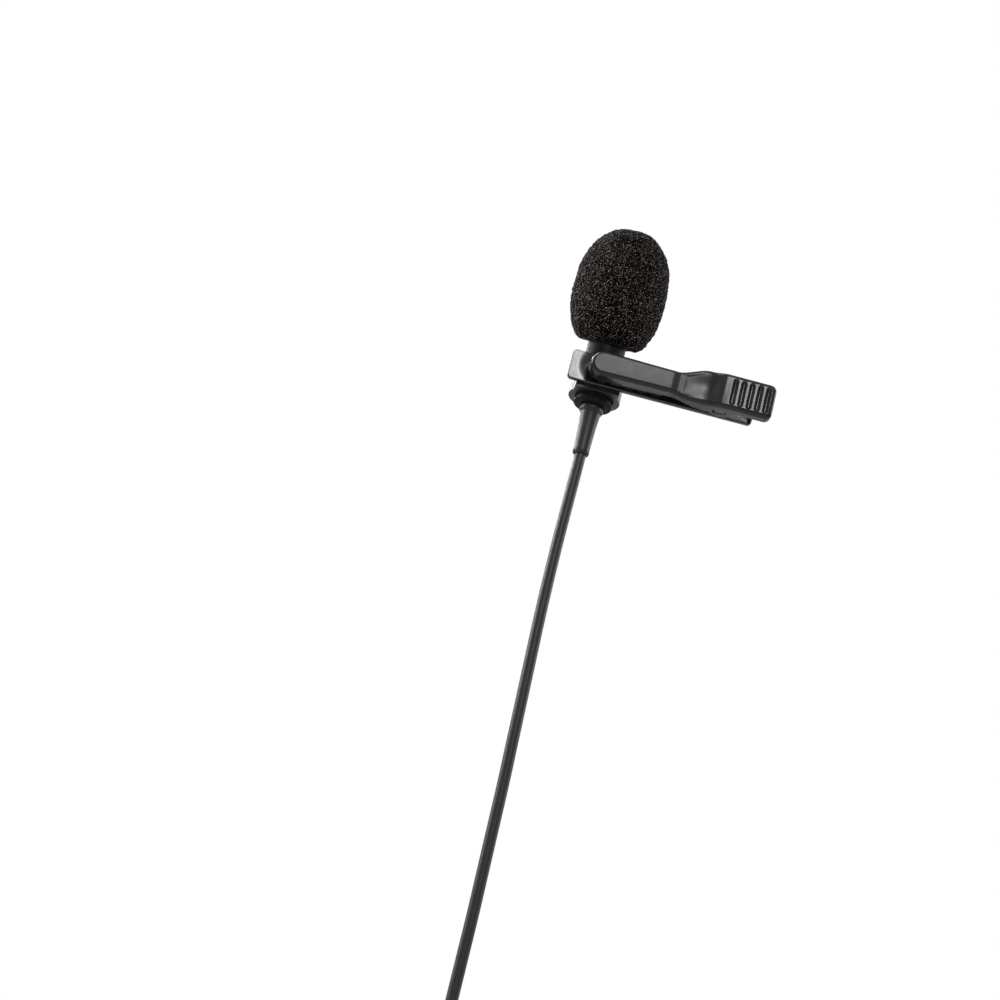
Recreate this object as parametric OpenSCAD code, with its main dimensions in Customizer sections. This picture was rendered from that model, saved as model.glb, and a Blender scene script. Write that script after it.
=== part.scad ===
// Lavalier microphone: foam windscreen, slim barrel, two-lever spring clip, cord and 3.5 mm plug.
// Millimetres. +X runs from the jaw to the thumb grips, +Y from the front lever to the microphone,
// +Z up the microphone's axis. The origin is on the rear lever's gripping face, where the jaw closes.
// Heights of the clip are counted from that face towards the front, so a height h lies at y = -h.

/* [Front lever] */
// Length from the hinge pin to the jaw tip
jaw_len = 25.2; // [22:0.1:30]
// Length from the hinge pin to the end of the thumb grip
grip_len = 9.4; // [9:0.1:12]
// Width of the jaw behind its round tip
jaw_w = 5; // [4.5:0.1:5.6]
// Width of the waist, at the end of the flat panel
waist_w = 4.6; // [4.2:0.1:5]
// Width of the thumb grip
grip_w = 7; // [6.6:0.1:8]
// Height of the flat panel
jaw_h = 3.8; // [3.4:0.1:4.2]
// Height of the thumb grip
grip_h = 5.75; // [5.6:0.05:6.4]
// Length of the flat panel from the tip
panel_len = 15.3; // [14:0.1:17]
// Length over which the waist flares to the grip
flare_len = 6.6; // [5:0.1:7]
// Wall of the moulded channel
wall_t = 0.9; // [0.8:0.05:1.1]
// Rounding of the outer edges
edge_r = 0.8; // [0.5:0.05:1]
// Rounding of the grip's end corners
grip_corner_r = 1.3; // [1.1:0.1:1.8]
// Depth of the thumb scoop in the saddle
scoop_d = 0.15; // [0.05:0.05:0.3]

/* [Teeth and ribs] */
// Number of notches in the jaw's rim
notch_n = 5; // [2:1:5]
// Spacing of the notches
notch_pitch = 2.56; // [2.2:0.02:2.7]
// Width of a notch at the rim
notch_w = 1.1; // [0.8:0.1:1.4]
// Depth of a notch
notch_d = 0.75; // [0.5:0.05:1]
// Number of grooves across the thumb grip
groove_n = 5; // [3:1:5]
// Spacing of the grooves
groove_pitch = 1.57; // [1.5:0.01:1.6]
// Width of a groove
groove_w = 1.2; // [0.9:0.05:1.3]
// Depth of a groove
groove_d = 0.42; // [0.3:0.01:0.5]

/* [Rear lever] */
// Width of the rear plate
plate_w = 6; // [5.6:0.1:6.8]
// Thickness of the rear plate
plate_t = 1; // [0.8:0.05:1.4]
// How far the plate reaches past the jaw tip
plate_lead = 3.5; // [2:0.1:4]
// Length from the hinge pin to the end of the tail
tail_len = 6.6; // [5.5:0.1:8]
// Rounding of the plate's corners
plate_corner_r = 0.8; // [0.5:0.05:1.2]

/* [Hinge] */
// Diameter of the hinge pin
pin_d = 1.8; // [1.5:0.1:2]
// Wall of the rear ears round the pin
ear_wall = 0.6; // [0.5:0.05:0.7]
// Wall of the front lugs round the pin
lug_wall = 1.5; // [1.3:0.05:1.6]
// Thickness of a rear ear
ear_t = 0.8; // [0.6:0.05:1]
// Diameter of the pin's heads
head_d = 2.5; // [2.3:0.1:2.8]
// How far the jaw opens, degrees
open_angle = 20; // [15:1:22]
// Diameter of the spring wire
wire_d = 0.5; // [0.4:0.05:0.6]
// Turns of the torsion spring
spring_turns = 3; // [2:1:4]

/* [Holder] */
// Distance from the jaw tip to the microphone's axis
mic_in = 2.6; // [2:0.1:6]
// Wall of the holder ring
ring_wall = 1.2; // [1:0.1:1.8]
// Thinnest part of the holder, between the barrel and the plate
pad_t = 0.7; // [0.5:0.1:1.2]
// Height of the holder ring
ring_h = 6.2; // [5:0.1:7]
// How far the holder ring reaches below the middle of the plate
ring_drop = 3.7; // [3:0.1:4.2]
// Width of the ring's slot
slot_w = 1.2; // [0.8:0.1:2]

/* [Barrel] */
// Diameter of the barrel
barrel_d = 7.3; // [6.8:0.1:7.6]
// Length of the whole barrel with its grille cap
barrel_len = 23; // [21:0.1:26]
// Wall of the barrel tube
barrel_wall = 0.4; // [0.3:0.05:0.45]
// How far the barrel reaches below the middle of the plate
barrel_drop = 5.2; // [4.6:0.1:6]
// Height of the grille cap
grille_h = 2.4; // [2:0.1:3]
// Diameter of the grille's holes
grille_hole_d = 0.7; // [0.5:0.05:0.75]

/* [Capsule] */
// Diameter of the electret capsule's can
can_d = 4.5; // [4:0.1:4.6]
// Height of the can
can_h = 2.8; // [2.7:0.1:3.2]
// Wall of the can
can_wall = 0.2; // [0.15:0.01:0.25]
// Diameter of the can's sound hole
sound_hole_d = 0.8; // [0.5:0.1:1.2]

/* [Windscreen] */
// Diameter of the foam
foam_d = 17.8; // [14:0.2:20]
// Length of the foam
foam_len = 23.7; // [20:0.1:26]
// How far the foam reaches over the barrel
foam_bite = 9.7; // [8:0.1:11]
// How far the foam's mouth hangs lower in front, degrees
foam_slant = 22; // [0:1:22]
// Roundness of the foam: 2 is an ellipse, more is boxier
foam_power = 2.3; // [2:0.1:2.8]

/* [Cord] */
// Diameter of the cord
cord_d = 2.2; // [1.8:0.1:2.2]
// Length of the strain relief below the barrel
relief_len = 10; // [7:0.5:14]
// Diameter of the strain relief at the barrel
relief_d = 4.4; // [3.6:0.1:5]
// Diameter at the middle of the coil's turns
coil_mid_d = 24; // [22:0.5:26]
// Whole loops in the coil
coil_loops = 14; // [10:1:14]
// Spacing of the turns, beside and on each other
coil_pitch = 2.7; // [2.7:0.02:2.8]

/* [Plug] */
// Diameter of the plug's contacts
jack_d = 3.5; // [3.5:0.1:3.5]
// Length of the contacts with the tip
jack_len = 14; // [14:0.5:15]
// Diameter of the plug's shell
shell_d = 6.4; // [5.6:0.1:8]
// Length of the shell
shell_len = 16; // [13:0.5:20]
// Length of the plug's flexible boot
boot_len = 8; // [6:0.5:12]

/* [Fits] */
// Radial clearance of a turning fit
run_clear = 0.04; // [0.02:0.01:0.06]
// Gap between faces that pass each other
side_clear = 0.12; // [0.1:0.01:0.15]
// Gap between pieces that are assembled and stay put
seat_clear = 0.02; // [0.01:0.01:0.04]
// Gap left between the closed jaw's rim and the plate
jaw_clear = 0.06; // [0.04:0.01:0.1]

/* [Hidden] */
$fn = 48;

// Where the clip's features lie along X.
grip_in = 0.6;
tip_x = -grip_in;
panel_x = tip_x + panel_len;
pin_x = tip_x + jaw_len;
grip_end_x = pin_x + grip_len;
tail_end_x = pin_x + tail_len;
plate_end_x = tip_x - plate_lead;

// The front lever's face: a bevel ends the panel, the saddle rises, and a ramp leads to the grip.
bevel_len = 1.4;
bevel_drop = 0.3;
saddle_x = panel_x + bevel_len;
groove_margin = 0.75;
groove_floor_w = 0.14;
last_ridge = 0.9;
first_ridge = 0.9;
groove_x = grip_end_x - last_ridge - groove_w / 2 - (groove_n - 1) * groove_pitch;
ramp_len = 3;
ramp_h = 0.75;
ramp_x = groove_x - groove_w / 2 - first_ridge - ramp_len;
flare_x = min(panel_x + flare_len, ramp_x - 0.3);

// The hinge: the ears fit under the saddle. The lugs hang outside them, a little inside the walls' faces.
pin_r = pin_d / 2;
ear_r = pin_r + ear_wall;
lug_r = pin_r + lug_wall;
head_room = 0.2;
pin_deep = 2.66;
lug_in = 0.15;
lug_boss = 0.1;
pin_h = grip_h - pin_deep;
lug_deep = 1.6;
lug_top_h = grip_h - lug_deep;
lug_z = grip_w / 2 - lug_in;
lug_in_z = grip_w / 2 - wall_t - lug_boss;
ear_out_z = lug_in_z - side_clear;
ear_in_z = ear_out_z - ear_t;
head_t = 0.3;
head_deep = 0.1;
head_gap = 0.06;

// The rims of the front lever's walls.
toothed_len = 13.9;
first_notch = 1.7;
step_x = tip_x + toothed_len;
arm_rim_h = 1.3;
arm_rim_end_h = 2.1;
grip_rim_up = 0.6;
grip_rim_h = pin_h + grip_rim_up;
jaw_ceiling = jaw_h - wall_t;
grip_ceiling = grip_h - 1.15;

// The microphone's axis, behind the plate.
barrel_r = barrel_d / 2;
ring_bore_r = barrel_r + run_clear;
ring_r = ring_bore_r + ring_wall;
mic_x = tip_x + mic_in;
mic_y = plate_t + pad_t + ring_bore_r;
barrel_z = -barrel_drop;
barrel_top = barrel_z + barrel_len;
tube_top = barrel_top - grille_h;
bore_r = barrel_r - barrel_wall;

// The holder's studs through the plate.
stud_r = 0.6;
stud_gap = 3;
stud_z = -ring_drop + ring_h / 2;

// The capsule stack, counted down from the top of the can.
spigot_h = 1;
spigot_t = 0.45;
can_r = can_d / 2;
can_in_r = can_r - can_wall;
can_top = tube_top - 0.3;
can_z = can_top - can_h;
lip_t = 0.15;
lip_r = can_in_r - 0.3;
board_t = 0.4;
board_z = can_z + lip_t + seat_clear;
stack_r = can_in_r - seat_clear;
film_ring_t = 0.25;
film_t = 0.08;
film_z = can_top - can_wall - seat_clear - film_ring_t;
spacer_t = 0.12;
spacer_z = film_z - seat_clear - spacer_t;
plate_disc_t = 0.25;
plate_disc_z = spacer_z - seat_clear - plate_disc_t;
cup_wall = 0.35;
cup_z = board_z + board_t + seat_clear;
contact_t = 0.2;
felt_t = 0.25;
mesh_t = 0.12;
cap_t = 0.45;

// The cord's end in the barrel.
cap_disc_t = 1.4;
flange_t = 0.8;
cord_r = cord_d / 2;
core_top = barrel_z + 4;
crimp_len = 1.2;
relief_z = barrel_z - seat_clear - relief_len;
relief_tip_wall = 0.45;
wire_pitch = 0.45;
wire_r = 0.2;

// The windscreen: widest a little below its middle, cut flat at the mouth.
foam_clear = 0.06;
foam_z = barrel_top - foam_bite;
foam_top = foam_z + foam_len;
foam_mouth_t = 0.83;
foam_half = foam_len / (1 + foam_mouth_t);
foam_mid_z = foam_top - foam_half;
foam_steps = 26;

// The route of the free cord, counted from where it leaves the strain relief: x and z of each point.
// It drifts a little to +X as it hangs, and leans over to join the outermost turn of the coil.
drop_route = [[0, -3], [-0.1, -9], [-0.2, -17], [-0.2, -25], [-0.1, -33], [0.1, -41], [0.3, -49],
    [0.5, -57], [0.7, -65], [0.8, -73], [0.9, -81], [1, -89], [1, -97], [1, -105], [1, -111],
    [1, -116], [1.9, -120.5], [4.4, -124.3]];
coil_centre = [3, -143];
coil_x = mic_x + coil_centre[0];
coil_z = relief_z + coil_centre[1];
coil_in_angle = 25;
coil_out_angle = 90;
tail_route_len = 8;
tail_rings = 4;

// The coil: four layers that spiral in, out, in and out again.
layers = 4;
rings_per_loop = 24;
coil_turns = coil_loops + (coil_out_angle - coil_in_angle) / 360;
layer_turns = coil_turns / layers;
coil_band = coil_pitch * layer_turns;
coil_r_out = coil_mid_d / 2 + coil_band / 2;
coil_r_in = coil_mid_d / 2 - coil_band / 2;
climb_turns = 0.5;
coil_y = mic_y;
coil_back_y = coil_y + (layers - 1) * coil_pitch;

// The tie round all the turns, between the first turn's start and the last one's end.
tie_angle = 57;
tie_w = 7;
tie_t = 1;
tie_clear = 0.3;

// The plug hangs from the coil's end.
jack_r = jack_d / 2;
shell_r = shell_d / 2;
plug_x = coil_x + coil_r_out;
plug_y = coil_back_y;
tail_top_z = coil_z - cord_d;
boot_top_z = tail_top_z - tail_route_len;
shell_top_z = boot_top_z - boot_len;
jack_z = shell_top_z - shell_len;
tip_len = 3.6;
ring_len = 2.4;
gap_len = 0.7;
sleeve_len = jack_len - tip_len - ring_len - 2 * gap_len;

// ---- Functions ----

function smooth(t) = t <= 0 ? 0 : t >= 1 ? 1 : t * t * (3 - 2 * t);
function mix(a, b, t) = a + (b - a) * t;
function unit(v) = v / norm(v);

// Height of the front lever's face at x.
function face_h(x) =
    x <= panel_x ? jaw_h
    : x <= saddle_x ? jaw_h - bevel_drop * smooth((x - panel_x) / bevel_len)
    : x <= ramp_x ? mix(jaw_h - bevel_drop, grip_h - ramp_h, smooth((x - saddle_x) / (ramp_x - saddle_x)))
    : x <= ramp_x + ramp_len ? grip_h - ramp_h * (1 - smooth((x - ramp_x) / ramp_len))
    : grip_h;

// Half the front lever's width at x, away from its rounded ends.
function half_w(x) =
    x <= panel_x ? mix(jaw_w, waist_w, (x - tip_x) / panel_len) / 2
    : mix(waist_w, grip_w, smooth((x - panel_x) / (flare_x - panel_x))) / 2;

// Half outline of the front lever seen from the front, as [x, z], from the tip to the grip's end.
tip_r = half_w(tip_x + jaw_w / 2);
tip_half = concat(
    [for (a = [0:15:75]) [tip_x + tip_r * (1 - cos(a)), tip_r * sin(a)]],
    [for (x = [tip_x + tip_r, mix(tip_x + tip_r, panel_x, 0.5)]) [x, half_w(x)]]);
end_half = concat(
    [for (a = [90:-15:0])
        [grip_end_x - grip_corner_r * (1 - cos(a)), grip_w / 2 - grip_corner_r * (1 - sin(a))]],
    [[grip_end_x, 0]]);
half_outline = concat(
    tip_half,
    [for (t = [0:0.25:1]) let (x = panel_x + bevel_len * t) [x, half_w(x)]],
    [for (t = [0.1:0.1:0.95]) let (x = mix(saddle_x, flare_x, t)) [x, half_w(x)]],
    [[flare_x, half_w(flare_x)]],
    [for (t = [0:0.125:1]) let (x = ramp_x + ramp_len * t) [x, half_w(x)]],
    end_half);

// The outward normal of the half outline at point i. The neighbours past its ends are mirrored.
function outline_point(o, i) =
    i < 0 ? [o[1][0], -o[1][1]] : i >= len(o) ? [o[len(o) - 2][0], -o[len(o) - 2][1]] : o[i];
function outline_normal(o, i) =
    let (t = outline_point(o, i + 1) - outline_point(o, i - 1)) unit([-t[1], t[0]]);
function inset_point(o, i, d) = o[i] - d * outline_normal(o, i);
function inset_half(o, d) = [for (i = [0:len(o) - 1]) inset_point(o, i, d)];
function whole_outline(h) = concat(h, [for (i = [len(h) - 2:-1:1]) [h[i][0], -h[i][1]]]);

// Points round a circular profile, for a tube's ring at p with the axis t. ref isn't along t.
function ring_points(p, t, r, sides, ref) =
    let (u = unit(cross(ref, t)), v = cross(t, u))
    [for (k = [0:sides - 1]) p + r * (cos(360 * k / sides) * u + sin(360 * k / sides) * v)];
function path_tangent(path, i) =
    i == 0 ? unit(path[1] - path[0])
    : i == len(path) - 1 ? unit(path[i] - path[i - 1])
    : unit(unit(path[i + 1] - path[i]) + unit(path[i] - path[i - 1]));

// A point of the smooth curve through p, at t from p[i] to p[i + 1].
function curve_point(p, i, t) =
    let (a = p[max(i - 1, 0)], b = p[i], c = p[i + 1], d = p[min(i + 2, len(p) - 1)])
    0.5 * ((2 * b) + (c - a) * t + (2 * a - 5 * b + 4 * c - d) * t * t
        + (3 * b - a - 3 * c + d) * t * t * t);
function refined(p, n) =
    concat([for (i = [0:len(p) - 2], k = [0:n - 1]) curve_point(p, i, k / n)], [p[len(p) - 1]]);

// The coil's centreline after s turns, clockwise from its entry.
function coil_radius(s) =
    let (k = floor(s / layer_turns), u = s / layer_turns - k)
    k % 2 == 0 ? mix(coil_r_out, coil_r_in, u) : mix(coil_r_in, coil_r_out, u);
function coil_layer(s, k = 1) =
    k >= layers ? 0
    : smooth((s - k * layer_turns) / climb_turns + 0.5) + coil_layer(s, k + 1);
function coil_at(s) =
    let (a = coil_in_angle + 360 * s, r = coil_radius(s))
    [coil_x + r * sin(a), coil_y + coil_pitch * coil_layer(s), coil_z + r * cos(a)];
coil_start = coil_at(0);
coil_start_dir = unit(coil_at(0.004) - coil_start);
coil_entry = coil_start - coil_start_dir * cord_d;
coil_end = coil_at(coil_turns - 0.0001);
coil_steps = floor(coil_turns * rings_per_loop);
coil_path = concat(
    [coil_entry],
    [for (i = [0:coil_steps - 1]) coil_at(i / rings_per_loop)],
    [[plug_x, plug_y, coil_z], [plug_x, plug_y, tail_top_z]]);

// Least distance between stretches of a path that lie at least skip points apart.
function least_gap(p, skip) =
    min([for (i = [0:len(p) - 1 - skip], j = [i + skip:len(p) - 1]) norm(p[i] - p[j])]);

drop_path = concat(
    [[mic_x, mic_y, relief_z]],
    refined([for (q = drop_route) [mic_x + q[0], mic_y, relief_z + q[1]]], 2),
    [coil_entry - coil_start_dir * cord_r, coil_entry]);
tail_path = [for (i = [0:tail_rings]) [plug_x, plug_y, tail_top_z - tail_route_len * i / tail_rings]];

// The spring's centreline: a leg on the plate, the turns round the pin, a leg under the grip.
spring_r = pin_r + 0.12 + wire_d / 2;
spring_pitch = min(wire_d + 0.12, (2 * ear_in_z - wire_d - 0.2) / (spring_turns + 0.5));
spring_leg_in = 4.2;
spring_leg_x = grip_end_x - spring_leg_in;
spring_rise = spring_turns + 0.5;
spring_steps = 10;
spring_z0 = -spring_pitch * spring_rise / 2;
function spring_turn(s) =
    let (a = 360 * s)
    [pin_x + spring_r * sin(a), -pin_h + spring_r * cos(a), spring_z0 + spring_pitch * s];
spring_path = concat(
    [[spring_leg_x, -wire_d / 2 - seat_clear, spring_z0]],
    [for (i = [0:spring_rise * spring_steps]) spring_turn(i / spring_steps)],
    [[spring_leg_x, -grip_ceiling + wire_d / 2 + seat_clear, spring_z0 + spring_pitch * spring_rise]]);

// ---- Modules that several parts share ----

// A tube of straight facets along a path. ref is a direction that the path never follows.
module tube(path, r, sides, ref) {
    n = len(path);
    points = [for (i = [0:n - 1]) each ring_points(path[i], path_tangent(path, i), r, sides, ref)];
    walls = [for (i = [0:n - 2], k = [0:sides - 1])
        let (a = i * sides + k, b = i * sides + (k + 1) % sides)
        each [[a, b, b + sides], [a, b + sides, a + sides]]];
    first_cap = [for (k = [1:sides - 2]) [0, k + 1, k]];
    last = (n - 1) * sides;
    last_cap = [for (k = [1:sides - 2]) [last, last + k, last + k + 1]];
    polyhedron(points, concat([for (f = walls) [f[0], f[2], f[1]]], [for (f = first_cap) [f[0], f[2], f[1]]],
        [for (f = last_cap) [f[0], f[2], f[1]]]), convexity = 10);
}

// A flat shape in the clip's side view, as [x, height], made solid between two values of z.
module side_prism(z_low, z_high) {
    translate([0, 0, z_low])
        linear_extrude(z_high - z_low)
            mirror([0, 1])
                children();
}

// The same shape on both sides of the clip, from z_in to z_out.
module both_sides(z_in, z_out) {
    side_prism(z_in, z_out) children();
    side_prism(-z_out, -z_in) children();
}

// Moves its children to the microphone's axis.
module on_mic_axis(z = 0) {
    translate([mic_x, mic_y, z]) children();
}

// Moves its children to the hinge axis.
module on_hinge(z = 0) {
    translate([pin_x, -pin_h, z]) children();
}

// Moves its children to the plug's axis.
module on_plug_axis(z = 0) {
    translate([plug_x, plug_y, z]) children();
}

// A washer or short tube.
module ring(r_out, r_in, h) {
    difference() {
        cylinder(r = r_out, h = h);
        translate([0, 0, -1]) cylinder(r = r_in, h = h + 2);
    }
}

// ---- Clip ----

// The solid block of the front lever, before it is hollowed. Its edges are rounded by rows of
// points that step in from the outline while they climb to the face.
module lever_block() {
    steps = 4;
    half = half_outline;
    m = len(half);
    loop = 2 * m - 2;
    function row_half(inset, rise, flat) =
        [for (i = [0:m - 1])
            let (q = inset_point(half, i, inset))
            [q[0], flat ? -jaw_clear : -(face_h(half[i][0]) - rise), i == 0 || i == m - 1 ? 0 : q[1]]];
    function row(inset, rise, flat = false) =
        let (h = row_half(inset, rise, flat))
        concat(h, [for (i = [m - 2:-1:1]) [h[i][0], h[i][1], -h[i][2]]]);
    rows = concat([row(0, 0, true)],
        [for (k = [0:steps])
            let (a = 90 * k / steps) row(edge_r * (1 - cos(a)), edge_r * (1 - sin(a)))]);
    count = len(rows);
    points = [for (r = rows) each r];
    walls = [for (j = [0:count - 2], i = [0:loop - 1])
        let (a = j * loop + i, b = j * loop + (i + 1) % loop)
        each [[a, b, b + loop], [a, b + loop, a + loop]]];
    function cap(base) = concat(
        [[base, base + 1, base + loop - 1]],
        [for (i = [1:m - 3]) each [[base + i, base + i + 1, base + loop - i - 1],
            [base + i, base + loop - i - 1, base + loop - i]]],
        [[base + m - 2, base + m - 1, base + m]]);
    top_cap = cap((count - 1) * loop);
    low_cap = [for (f = cap(0)) [f[0], f[2], f[1]]];
    polyhedron(points, concat(walls, top_cap, low_cap), convexity = 10);
}

// The hollow of the front lever: the outline less a wall, under a ceiling that leaves the face.
module lever_hollow() {
    plan = whole_outline(inset_half(half_outline, wall_t));
    over_pin_h = pin_h + ear_r + head_room;
    ceiling = [[tip_x, -1], [tip_x, jaw_ceiling], [panel_x, jaw_ceiling],
        [saddle_x + 0.5, jaw_ceiling - bevel_drop + 0.1], [ramp_x, face_h(ramp_x) - wall_t],
        [pin_x - 1.2, over_pin_h], [pin_x + ear_r + 0.3, over_pin_h],
        [pin_x + ear_r + 0.6, grip_ceiling], [grip_end_x, grip_ceiling], [grip_end_x, -1]];
    intersection() {
        translate([0, 1, 0])
            rotate([90, 0, 0])
                linear_extrude(grip_h + 1)
                    polygon(plan);
        side_prism(-grip_w, grip_w)
            polygon(ceiling);
    }
}

// What is cut from under the walls behind the teeth: the arm's rim, then the grip's rim.
module rim_cut() {
    step_run = 0.5;
    side_prism(-grip_w, grip_w)
        polygon([[step_x, -1], [step_x, jaw_clear], [step_x + step_run, arm_rim_h],
            [pin_x, arm_rim_end_h], [pin_x, grip_rim_h], [grip_end_x + 1, grip_rim_h],
            [grip_end_x + 1, -1]]);
}

// One rounded notch in the jaw's rim, right across both walls.
module rim_notch(x) {
    crown_h = jaw_clear + notch_d - notch_w / 2;
    side_prism(-grip_w, grip_w)
        union() {
            translate([x, crown_h]) circle(d = notch_w, $fn = 24);
            translate([x - notch_w / 2, -1]) square([notch_w, 1 + crown_h]);
        }
}

// One groove across the thumb grip: a blunt V whose round ends stop short of the sides.
module grip_groove(x) {
    reach = grip_w / 2 - groove_margin - groove_w / 2;
    over = 0.5;
    floor_r = groove_floor_w / 2;
    over_r = floor_r + (groove_w / 2 - floor_r) * (groove_d + over) / groove_d;
    translate([x, -grip_h + groove_d, 0]) {
        linear_extrude(2 * reach, center = true)
            polygon([[floor_r, 0], [over_r, -groove_d - over], [-over_r, -groove_d - over], [-floor_r, 0]]);
        for (s = [-1, 1])
            translate([0, 0, s * reach])
                rotate([90, 0, 0])
                    cylinder(r1 = floor_r, r2 = over_r, h = groove_d + over);
    }
}

// The shallow thumb scoop: a large ball pressed into the saddle.
module scoop() {
    scoop_w = 3.6;
    x = mix(saddle_x, ramp_x, 0.6);
    ball_r = (scoop_w * scoop_w / 4 + scoop_d * scoop_d) / (2 * scoop_d);
    rise = atan((face_h(ramp_x) - face_h(saddle_x)) / (ramp_x - saddle_x));
    translate([x, -face_h(x), 0])
        rotate([0, 0, -rise])
            translate([0, scoop_d - ball_r, 0])
                sphere(r = ball_r, $fn = 96);
}

// Moulded channel: round toothed jaw, flat panel, scooped saddle, ribbed thumb grip and two lugs.
module front_lever() {
    color([0.13, 0.13, 0.14])
        difference() {
            union() {
                difference() {
                    lever_block();
                    rim_cut();
                    lever_hollow();
                }
                both_sides(lug_in_z, lug_z)
                    intersection() {
                        translate([pin_x, pin_h]) circle(r = lug_r);
                        translate([pin_x - lug_r - 1, -1]) square([2 * lug_r + 2, 1 + lug_top_h]);
                    }
            }
            on_hinge() cylinder(r = pin_r + run_clear, h = 3 * lug_z, center = true);
            for (s = [-1, 1])
                on_hinge(s * (lug_z - head_t - head_deep + 1))
                    cylinder(d = head_d + 2 * head_gap, h = 2, center = true);
            for (i = [0:notch_n - 1])
                rim_notch(tip_x + first_notch + i * notch_pitch);
            for (i = [0:groove_n - 1])
                grip_groove(groove_x + i * groove_pitch);
            scoop();
        }
}

// Outline of the rear plate, less an inset, as rounded rectangle.
module plate_outline(inset) {
    r = plate_corner_r;
    length = tail_end_x - plate_end_x;
    translate([(tail_end_x + plate_end_x) / 2, 0])
        hull()
            for (sx = [-1, 1], sz = [-1, 1])
                translate([sx * (length / 2 - r), sz * (plate_w / 2 - r)])
                    circle(r = r - inset, $fn = 32);
}

// Flat plate with eased edges, two ears inside the front lugs and two walls along its tail.
module rear_lever() {
    ease = 0.2;
    tail_wall_z = plate_w / 2;
    hollow_r = lug_r + 0.2;
    foot = 0.3;
    rim_start_h = pin_h + grip_rim_up * cos(open_angle) - 0.15
        - (hollow_r - grip_rim_up * sin(open_angle)) * tan(open_angle);
    color([0.13, 0.13, 0.14])
        difference() {
            union() {
                hull() {
                    translate([0, plate_t, 0])
                        rotate([90, 0, 0])
                            linear_extrude(plate_t) plate_outline(ease);
                    translate([0, plate_t - ease, 0])
                        rotate([90, 0, 0])
                            linear_extrude(plate_t - 2 * ease) plate_outline(0);
                }
                both_sides(ear_in_z, ear_out_z) {
                    translate([pin_x, pin_h]) circle(r = ear_r);
                    polygon([[pin_x - ear_r, pin_h], [pin_x + ear_r, pin_h],
                        [pin_x + ear_r + 0.5, -foot], [pin_x - ear_r - 0.5, -foot]]);
                }
                both_sides(tail_wall_z - wall_t, tail_wall_z - ease)
                    difference() {
                        polygon([[pin_x + 1.5, -foot], [pin_x + 1.5, rim_start_h],
                            [pin_x + hollow_r, rim_start_h], [tail_end_x - plate_corner_r, -0.01],
                            [tail_end_x - plate_corner_r, -foot]]);
                        translate([pin_x, pin_h]) circle(r = hollow_r);
                    }
            }
            on_hinge() cylinder(r = pin_r + seat_clear, h = 3 * lug_z, center = true);
            for (s = [-1, 1])
                translate([mic_x + s * stud_gap / 2, 0, stud_z])
                    rotate([90, 0, 0])
                        cylinder(r = stud_r + seat_clear, h = 4 * plate_t, center = true);
        }
}

// Slotted ring behind the plate that grips the barrel, with two studs through the plate.
module holder_ring() {
    color([0.16, 0.16, 0.17]) {
        difference() {
            translate([mic_x, 0, -ring_drop])
                linear_extrude(ring_h)
                    difference() {
                        intersection() {
                            union() {
                                translate([0, mic_y]) circle(r = ring_r, $fn = 64);
                                translate([-ring_r * 0.85, 0]) square([1.7 * ring_r, mic_y - ring_r / 2]);
                            }
                            translate([-2 * ring_r, plate_t]) square([4 * ring_r, 4 * ring_r]);
                        }
                        translate([0, mic_y]) circle(r = ring_bore_r, $fn = 64);
                        translate([-slot_w / 2, mic_y]) square([slot_w, 2 * ring_r]);
                    }
        }
        for (s = [-1, 1])
            translate([mic_x + s * stud_gap / 2, plate_t + pad_t / 2, stud_z])
                rotate([90, 0, 0])
                    cylinder(r = stud_r, h = plate_t + pad_t / 2);
    }
}

// Riveted pin: its heads sit in the lugs, and the ears hold its shank.
module hinge_pin() {
    head_z = lug_z - head_deep - head_t;
    color([0.3, 0.3, 0.31])
        on_hinge() {
            cylinder(r = pin_r, h = 2 * head_z + head_t, center = true);
            for (s = [-1, 1])
                translate([0, 0, s * (head_z + head_t / 2 + seat_clear)])
                    cylinder(d = head_d, h = head_t, center = true);
        }
}

// Torsion spring of music wire.
module torsion_spring() {
    echo(spring_gap = least_gap(spring_path, spring_steps) - wire_d);
    color([0.7, 0.7, 0.68])
        tube(spring_path, wire_d / 2, 6, [0, 0, 1]);
}

// ---- Microphone ----

// Thin tube with eased ends.
module barrel() {
    ease = 0.25;
    color([0.1, 0.1, 0.11])
        on_mic_axis()
            rotate_extrude($fn = 64)
                polygon([[bore_r, barrel_z], [barrel_r - ease, barrel_z], [barrel_r, barrel_z + ease],
                    [barrel_r, tube_top], [bore_r, tube_top]]);
}

// Perforated cap with a spigot that fits the tube.
module grille_cap() {
    ease = 0.5;
    spigot_r = bore_r - seat_clear;
    hole_pitch = 1.15;
    slot_n = 8;
    color([0.2, 0.2, 0.21])
        on_mic_axis()
            difference() {
                rotate_extrude($fn = 64)
                    polygon([[0, barrel_top], [barrel_r - ease, barrel_top],
                        [barrel_r, barrel_top - ease], [barrel_r, tube_top + seat_clear],
                        [spigot_r, tube_top + seat_clear], [spigot_r, tube_top - spigot_h],
                        [spigot_r - spigot_t, tube_top - spigot_h],
                        [spigot_r - spigot_t, barrel_top - cap_t], [0, barrel_top - cap_t]]);
                translate([0, 0, barrel_top - 2]) cylinder(d = grille_hole_d, h = 4);
                for (k = [0:5])
                    rotate([0, 0, 60 * k])
                        translate([hole_pitch, 0, barrel_top - 2]) cylinder(d = grille_hole_d, h = 4);
                for (k = [0:11])
                    rotate([0, 0, 30 * k + 15])
                        translate([2 * hole_pitch - 0.1, 0, barrel_top - cap_t - 0.01])
                            cylinder(d = grille_hole_d * 0.85, h = 4);
                for (k = [0:slot_n - 1])
                    rotate([0, 0, 360 * (k + 0.5) / slot_n])
                        translate([barrel_r - 1, -0.3, tube_top + 0.5]) cube([2, 0.6, 0.9]);
            }
}

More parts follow.
